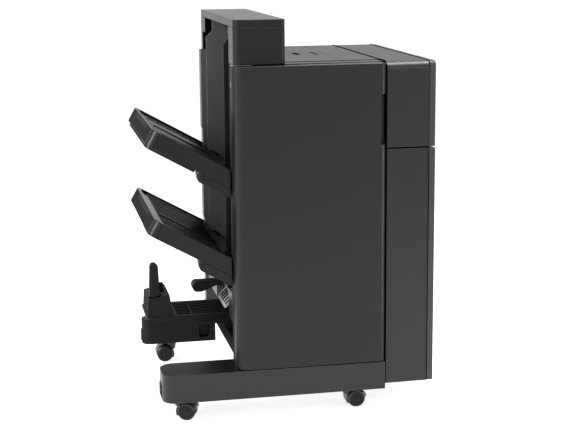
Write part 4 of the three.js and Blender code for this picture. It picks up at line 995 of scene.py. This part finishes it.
class BOOKLET_OT_trays(BookletOperator, bpy.types.Operator):
    """Makes the stacking trays with their carriages, extensions, floor steps and sheet sensors"""

    bl_idname = "booklet.trays"
    bl_label = "Stacking Trays"

    def tilt(self, values, node):
        """The tray's own axes: X runs down its slope from the tip, and the rim lies at Z = 0."""
        low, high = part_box(node)
        level, fall = math.cos(values.slope), math.sin(values.slope)
        root = (low.x + values.length * level + values.thickness * fall, 0, high.z - values.length * fall)
        return Matrix.Translation(root) @ Matrix.Rotation(values.slope, 4, "Y"), low.y, high.y

    def step(self, values, front, level):
        """The step along the tray's floor, whose front face reads as one dark line."""
        across = front + getattr(values, f"{level}_step")
        top = getattr(values, f"{level}_rise") - values.basin
        return bar((values.step_start - values.length, across, -values.basin),
                   (-values.step_stop, across + values.step_width, top), values.step_edge)

    def sensor(self, values, back):
        """The sheet sensor in the apron: a dark arched flag and the pad beside it."""
        floor = -values.basin
        along, aside = values.flag_along, back - values.flag_aside
        half, inner, outer = values.flag_half, values.flag_inner, values.flag_outer
        section = [(-half, inner), (-half, outer), (half, outer), (half, inner), (-half, inner)]
        arch = turned(section, (along, aside, floor - values.flag_sunk), Y, steps=36)
        pad = bar((along + values.pad_start, aside - values.pad_half, floor + values.pad_gap),
                  (along + values.pad_stop, aside + values.pad_half, floor + values.pad_top), values.pad_edge)
        return gather([arch, pad])

    def execute(self, context):
        values = context.scene.booklet_trays
        for level in ("upper", "lower"):
            tray = f"{level}_tray"
            lift = body_of(tray)
            slope, front, back = self.tilt(values, tray)
            uphill = slope.to_3x3() @ -X
            skin = dress(tray, values.edge, wanted=convex)
            # Painted light: the faces that look uphill get the lighter copy of the moulding.
            finish_faces(skin, uphill, "tray_end")
            if level == "upper":
                finish_faces(skin, slope.to_3x3() @ Z, "tray_floor")
            dress(f"{tray}_carriage", values.plate_edge, segments=2, wanted=longer_than(LONG_EDGE))
            # Painted light: the extension's uphill faces get the same lighter copy.
            finish_faces(dress(f"{tray}_extension", values.plate_edge, segments=2), uphill, "tray_end")
            floor_step = place(self.step(values, front, level), slope)
            settle(f"{tray}_floor_step", floor_step, lift, "tray_plastic")
            sensor = place(self.sensor(values, back), slope)
            settle(f"{tray}_sensor_flag", sensor, lift, "painted_steel", finish="seal")
        return {"FINISHED"}


# Counts of ribs, and shares of the pale guide's run and thickness and of the lip ribs' pitch

GUIDE_RIBS = 6
SLOT_START_SHARE = 0.1
SLOT_STOP_SHARE = 0.8
SLOT_ROOT_SHARE = 0.2
LIP_RIBS = 4
LIP_START_SHARE = 0.2
LIP_STOP_SHARE = 0.75


class BOOKLET_OT_table(BookletOperator, bpy.types.Operator):
    """Makes the booklet table, its stop block and paddle, the arm and the pale guide"""

    bl_idname = "booklet.table"
    bl_label = "Booklet Table"

    def slots(self, values):
        """Black bars of painted shade in the slots between the ribs of the pale guide, laid along its slope.
        """
        low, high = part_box("booklet_exit_guide")
        pitch = (high.y - low.y - values.guide_rib) / (GUIDE_RIBS - 1)
        run = math.hypot(high.x - low.x, high.z - low.z)
        start, stop = run * SLOT_START_SHARE, run * SLOT_STOP_SHARE
        root = values.guide_plate * math.sin(values.guide_angle) * SLOT_ROOT_SHARE
        half = values.slot_width / 2
        first = low.y + values.guide_rib + (pitch - values.guide_rib) / 2
        middles = [first + index * pitch for index in range(GUIDE_RIBS - 1)]
        slots = [
            bar((start, middle - half, -root), (stop, middle + half, values.slot_proud), values.slot_edge)
            for middle in middles
        ]
        lift = Matrix.Translation((low.x, 0, low.z)) @ Matrix.Rotation(-values.guide_angle, 4, "Y")
        return place(gather(slots), lift)

    def lip_ribs(self, values):
        """The finger ribs on the raised lip behind the block's notch."""
        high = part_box("stop_block")[1]
        right, face = high.x - values.lip_right, high.y - values.lip_back
        foot, top = high.z - values.lip_foot, high.z - values.lip_top
        proud, root, pitch = face - values.lip_proud, face + values.lip_root, values.lip_pitch
        return gather([
            bar((right - (row + LIP_STOP_SHARE) * pitch, proud, foot),
                (right - (row + LIP_START_SHARE) * pitch, root, top), values.lip_edge)
            for row in range(LIP_RIBS)
        ])

    def execute(self, context):
        values = context.scene.booklet_table
        dress("booklet_table", values.edge, wanted=convex)
        # Painted light: the stop block's left face gets the lighter end copy.
        finish_faces(dress("stop_block", values.edge), -X, "tray_end")
        dress("stop_paddle", values.edge, wanted=longer_than(LONG_PADDLE_EDGE))
        dress("booklet_arm", values.arm_edge, segments=4, wanted=longer_than(LONG_EDGE))
        dress("booklet_exit_guide", values.guide_edge, segments=2)
        # Painted shade: black bars stand in for the dark inside the guide's slots.
        settle("exit_guide_slots", self.slots(values), "frame", "painted_steel", finish="seal")
        settle("notch_lip_ribs", self.lip_ribs(values), body_of("stop_block"), "table_plastic")
        return {"FINISHED"}


# Half sections of a wheel and its neck, as shares of a width, relief or collar and of the radius, and the web

WHEEL_TREAD_SHARES = (
    (0, 0), (0, 0.86), (0.06, 0.95), (0.16, 1), (0.42, 1), (0.62, 0.985), (0.78, 0.94), (0.9, 0.86),
)
WHEEL_FACE_SHARES = (
    (0.3, 0.74), (0, 0.62), (0, 0.52), (0.6, 0.49), (0.7, 0.3), (0.1, 0.26), (0, 0.2), (0, 0),
)
COLLAR_SHARES = ((0.8, 1), (0.35, 1), (0.3, 1.1), (0.06, 1.1), (0, 1.06), (0, 0))
NECK_FOOT_SHARE = 0.9
WEB_SHARE = 1.06
WEB_FOOT_SHARE = 0.32
WEB_STEPS = 16
WEB_START, WEB_SWEEP = math.radians(20), math.radians(185)
HOOD_START, HOOD_STOP = math.radians(14), math.radians(204)


class BOOKLET_OT_casters(BookletOperator, bpy.types.Operator):
    """Makes the hooded twin-wheel casters"""

    bl_idname = "booklet.casters"
    bl_label = "Casters"

    def wheel_side(self, values, side):
        """One domed wheel of the pair."""
        inner, outer, radius = values.half_gap, values.half_width, values.radius
        profile = [(inner + (outer - inner) * across, radius * reach) for across, reach in WHEEL_TREAD_SHARES]
        profile += [(outer - values.face_relief * sunk, radius * reach) for sunk, reach in WHEEL_FACE_SHARES]
        return turned([(along * side, reach) for along, reach in profile], (0, 0, 0), Y, steps=48)

    def wheels(self, values):
        """Both wheels and the axle between them."""
        half = values.half_gap
        axle = turned([(-half, values.axle), (half, values.axle)], (0, 0, 0), Y, steps=20)
        return gather([self.wheel_side(values, 1), self.wheel_side(values, -1), axle])

    def hood(self, values):
        """The hood's section, open toward the wheels, spun part of the way round the axle."""
        wide = values.half_width + values.hood_side_gap
        outer, inner = values.hood, values.radius + values.hood_gap
        shoulder, lip, throat = values.hood_shoulder, inner - values.hood_lip, values.hood_throat
        half = [
            (shoulder, outer), (values.shoulder_in, outer - values.shoulder_down), (0, outer - shoulder),
            (0, lip), (values.hood_wall, lip), (throat, inner - throat), (values.hood_lip, inner)]
        section = [(wide - inset, reach) for inset, reach in half]
        section += [(inset - wide, reach) for inset, reach in reversed(half)]
        mesh = bmesh.new()
        face = mesh.faces.new([mesh.verts.new((reach, along, 0)) for along, reach in section])
        bmesh.ops.rotate(
            mesh, verts=mesh.verts, cent=(0, 0, 0), matrix=Matrix.Rotation(-HOOD_START, 3, "Y"))
        bmesh.ops.spin(
            mesh, geom=[face], cent=(0, 0, 0), axis=-Y, angle=HOOD_STOP - HOOD_START, steps=26,
            use_merge=False, use_duplicate=False)
        bmesh.ops.recalc_face_normals(mesh, faces=mesh.faces)
        return mesh

    def web(self, values):
        """The plate between the two wheels."""
        reach = values.radius * WEB_SHARE
        turns = [WEB_START + WEB_SWEEP * step / WEB_STEPS for step in range(WEB_STEPS + 1)]
        points = [(reach * math.cos(turn), reach * math.sin(turn)) for turn in turns]
        points.append((0, -values.radius * WEB_FOOT_SHARE))
        return round_edges(prism(points, "Y", -values.web_half, values.web_half), values.web_edge, segments=2)

    def fork(self, values, neck_top, trail):
        """Hood, web, neck and swivel stem, about the swivel's axis."""
        cover = gather([self.hood(values), self.web(values)])
        cover = place(cover, Matrix.Translation((trail, 0, values.radius)))
        profile = [(values.neck_foot, values.neck * NECK_FOOT_SHARE)]
        profile += [(neck_top - values.collar * below, values.neck * reach) for below, reach in COLLAR_SHARES]
        neck = turned(profile, (0, 0, 0), Z)
        tip = neck_top + values.stem_height
        slant = tip - values.stem_slant
        stem = turned(
            [(neck_top, values.stem), (slant, values.stem), (tip, values.stem_tip), (tip, 0)],
            (0, 0, 0), Z, steps=20)
        return gather([cover, neck, stem])

    def execute(self, context):
        values = context.scene.booklet_casters
        neck_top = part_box("front_foot")[0].z - values.clearance
        for corner in ("front_left", "front_right", "rear_left", "rear_right"):
            swivel = Vector(JOINTS[f"{corner}_caster_swivel"]["pos_m"])
            axle = Vector(JOINTS[f"{corner}_wheel_spin"]["pos_m"])
            trail = Vector((axle.x - swivel.x, axle.y - swivel.y, 0))
            turn = Matrix.Rotation(math.atan2(trail.y, trail.x), 4, "Z")
            stand = Matrix.Translation((swivel.x, swivel.y, 0)) @ turn
            hub = stand @ Matrix.Translation((trail.length, 0, values.radius))
            wheel_node, fork_node = f"caster_{corner}_wheels", f"caster_{corner}_fork"
            wheels = place(self.wheels(values), hub)
            settle(f"{corner}_twin_wheels", wheels, body_of(wheel_node), SLOTS[wheel_node], [wheel_node])
            fork = place(self.fork(values, neck_top, trail.length), stand)
            settle(f"{corner}_hood", fork, body_of(fork_node), SLOTS[fork_node], [fork_node])
        return {"FINISHED"}


# Counts of ribs, and a grip rib's share of its pitch

LINER_RIBS = 5
GRIP_RIBS = 5
GRIP_RIB_SHARE = 0.5


class BOOKLET_OT_inside(BookletOperator, bpy.types.Operator):
    """Makes what the open door shows: panel, screws, lever, knob, cartridge and the door's liner"""

    bl_idname = "booklet.inside"
    bl_label = "Inside the Door"

    def panel_screws(self, values):
        """Screw heads along the inner panel's top and foot, and up its right edge."""
        low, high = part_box("inner_front_panel")
        inset, pitch = values.screw_inset, values.screw_pitch
        right = high.x - inset
        places = [
            (x, z)
            for x in (low.x + inset, (low.x + high.x) / 2, right)
            for z in (low.z + inset, high.z - values.screw_top)
        ]
        places += [(right, low.z + pitch), (right, low.z + 2 * pitch)]
        return gather([screw((x, low.y, z), -Y, values.screw, values.screw_rise) for x, z in places])

    def liner_ribs(self, values):
        """Low ribs across the door's liner."""
        low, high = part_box("door_liner")
        left, right = low.x + values.rib_inset, high.x - values.rib_inset
        pitch = (high.z - low.z) / (LINER_RIBS + 1)
        middles = [low.z + pitch * (index + 1) for index in range(LINER_RIBS)]
        return gather([
            bar((left, high.y - values.rib_root, middle - values.rib_half),
                (right, high.y + values.rib_proud, middle + values.rib_half), values.rib_edge)
            for middle in middles
        ])

    def cartridge_grip(self, values):
        """Fine ribs on the staple cartridge's front, where a finger holds it."""
        low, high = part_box("staple_cartridge")
        middle = (low.x + high.x) / 2
        pitch = values.grip_pitch
        feet = [low.z + values.grip_foot + row * pitch for row in range(GRIP_RIBS)]
        return gather([
            bar((middle - values.grip_half, low.y - values.grip_proud, foot),
                (middle + values.grip_half, low.y + values.grip_root, foot + pitch * GRIP_RIB_SHARE),
                values.grip_edge)
            for foot in feet
        ])

    def execute(self, context):
        values, covers = context.scene.booklet_inside, context.scene.booklet_covers
        dress("door_liner", covers.thin_edge, segments=2)
        dress("jam_lever", covers.lever_edge)
        dress("jam_knob", covers.knob_edge, segments=2)
        dress("staple_cartridge", covers.lever_edge)
        settle("inner_panel_screws", self.panel_screws(values), "frame", "zinc_steel")
        settle("door_liner_ribs", self.liner_ribs(values), body_of("door_liner"), SLOTS["door_liner"])
        grip = self.cartridge_grip(values)
        settle("cartridge_grip_ribs", grip, body_of("staple_cartridge"), "touch_plastic")
        for node, slot in SLOTS.items():
            solid = frame["nodes"][node]
            if not solid.hide_render:
                finish = "rail" if node.startswith(("base_", "rear_beam")) else slot
                solid.data.materials.clear()
                solid.data.materials.append(materials[finish])
        return {"FINISHED"}


# Lamps: where each stands, what it aims at, its two lengths in metres and its power in watts

LAMPS = {
    "Top Strip": ((0.86, -0.6, 3.5), (0.33, -0.31, 0.96), (3.2, 0.35), 100),
    "Back Softbox": ((0.1, 1.1, 3.2), (0, 0.1, 0.6), (2.4, 1.0), 12),
    "Front Strip": ((0.9, -3.3, 2.2), (0.3, -0.3, 0.9), (3.0, 0.3), 12),
    "Left Strip": ((-3.0, -0.7, 0.9), (-0.1, -0.1, 0.6), (0.5, 1.8), 10),
    "Left High Lamp": ((-3.0, -1.05, 2.1), (-0.3, -0.2, 0.7), (0.9, 1.2), 70),
    "Left Softbox": ((-2.1, -2.6, 1.6), (-0.1, 0.1, 0.7), (0.9, 1.8), 9),
    "Right Softbox": ((2.4, -2.0, 0.9), (0.2, -0.2, 0.6), (1.1, 2.2), 9),
    "Right Low Strip": ((1.35, -0.95, 0.5), (0.2, -0.3, 0.5), (0.26, 0.9), 6),
}


class BOOKLET_OT_stage(BookletOperator, bpy.types.Operator):
    """Makes the floor, the backdrop, the lamps and the camera"""

    bl_idname = "booklet.stage"
    bl_label = "Stage"

    def seen(self, shader):
        """Rays from the camera, from gloss and through glass."""
        straight, gloss, through = (
            shader.node("ShaderNodeLightPath", output=name)
            for name in ("Is Camera Ray", "Is Glossy Ray", "Is Transmission Ray"))
        return straight.over(gloss).over(through)

    def floor(self, values):
        shader = new_shader("Pale Floor")
        tone = shader.blend(shader.noise(scale=30, detail=2), values.floor_dark, values.floor_light)
        plain = shader.node("ShaderNodeBsdfDiffuse", {}, {"Color": tone})
        glow = shader.node("ShaderNodeEmission", {}, {"Color": WHITE, "Strength": values.glow})
        both = shader.node("ShaderNodeAddShader", {}, {0: plain, 1: glow})
        shader.close(shader.node("ShaderNodeMixShader", {}, {0: self.seen(shader), 1: plain, 2: both}))
        mesh = bmesh.new()
        bmesh.ops.create_grid(mesh, x_segments=2, y_segments=2, size=values.floor_size / 2)
        floor = to_object("floor", mesh, shader.owner)

    def world(self, values):
        """White for the camera, in gloss and through glass, and a dim even light otherwise."""
        world = bpy.data.worlds.new("Studio")
        bpy.context.scene.world = world
        shader = Shader(world)
        strength = values.fill + self.seen(shader) * (1 - values.fill)
        light = shader.node("ShaderNodeBackground", {}, {"Color": WHITE, "Strength": strength})
        shader.close(light, "ShaderNodeOutputWorld")

    def lamp(self, name, spot, aim, size, power):
        light = bpy.data.lights.new(name, "AREA")
        light.shape = "RECTANGLE"
        light.size, light.size_y = size
        light.energy = power
        holder = add_object(name, light)
        holder.location = spot
        holder.rotation_euler = (Vector(aim) - Vector(spot)).to_track_quat("-Z", "Y").to_euler()

    def camera(self, values):
        lens = bpy.data.cameras.new("Camera")
        lens.sensor_width = values.film
        lens.lens = values.lens
        lens.clip_end = values.sight
        camera = add_object("Camera", lens)
        yaw, pitch, roll = values.yaw, values.pitch, values.roll
        ahead = Vector((math.sin(yaw) * math.cos(pitch), math.cos(yaw) * math.cos(pitch), -math.sin(pitch)))
        level = Vector((math.cos(yaw), -math.sin(yaw), 0))
        upright = level.cross(ahead)
        right = level * math.cos(roll) + upright * math.sin(roll)
        up = upright * math.cos(roll) - level * math.sin(roll)
        turn = Matrix((right, up, -ahead)).transposed().to_4x4()
        camera.matrix_world = Matrix.Translation(values.eye) @ turn
        bpy.context.scene.camera = camera

    def execute(self, context):
        values = context.scene.booklet_studio
        self.floor(values)
        self.world(values)
        for name, (spot, aim, size, power) in LAMPS.items():
            self.lamp(name, spot, aim, size, power)
        self.camera(values)
        context.scene.view_settings.view_transform = "Standard"
        return {"FINISHED"}


GROUPS = {
    "booklet_finishes": FinishSettings,
    "booklet_covers": CoverSettings,
    "booklet_fittings": FittingSettings,
    "booklet_trays": TraySettings,
    "booklet_table": TableSettings,
    "booklet_casters": CasterSettings,
    "booklet_inside": InsideSettings,
    "booklet_studio": StudioSettings,
}
OPERATORS = (
    BOOKLET_OT_stage, BOOKLET_OT_covers, BOOKLET_OT_fittings, BOOKLET_OT_trays, BOOKLET_OT_table,
    BOOKLET_OT_casters, BOOKLET_OT_inside,
)


class BOOKLET_PT_panel(bpy.types.Panel):
    """Lists the booklet maker's steps and settings"""

    bl_idname = "BOOKLET_PT_panel"
    bl_label = "Booklet Maker"
    bl_space_type = "VIEW_3D"
    bl_region_type = "UI"
    bl_category = "Booklet Maker"

    def draw(self, context):
        for operator in OPERATORS:
            self.layout.operator(operator.bl_idname)
        for group in GROUPS:
            values = getattr(context.scene, group)
            for name in values.__annotations__:
                self.layout.prop(values, name)


CLASSES = (*GROUPS.values(), *OPERATORS, BOOKLET_PT_panel)


def register():
    for one in CLASSES:
        bpy.utils.register_class(one)
    for name, group in GROUPS.items():
        setattr(bpy.types.Scene, name, bpy.props.PointerProperty(type=group))


def unregister():
    for name in reversed(GROUPS):
        delattr(bpy.types.Scene, name)
    for one in reversed(CLASSES):
        bpy.utils.unregister_class(one)


def main():
    register()
    make_materials(bpy.context.scene.booklet_finishes)
    bpy.ops.booklet.stage()
    bpy.ops.booklet.covers()
    bpy.ops.booklet.fittings()
    bpy.ops.booklet.trays()
    bpy.ops.booklet.table()
    bpy.ops.booklet.casters()
    bpy.ops.booklet.inside()


if __name__ == "__main__":
    main()
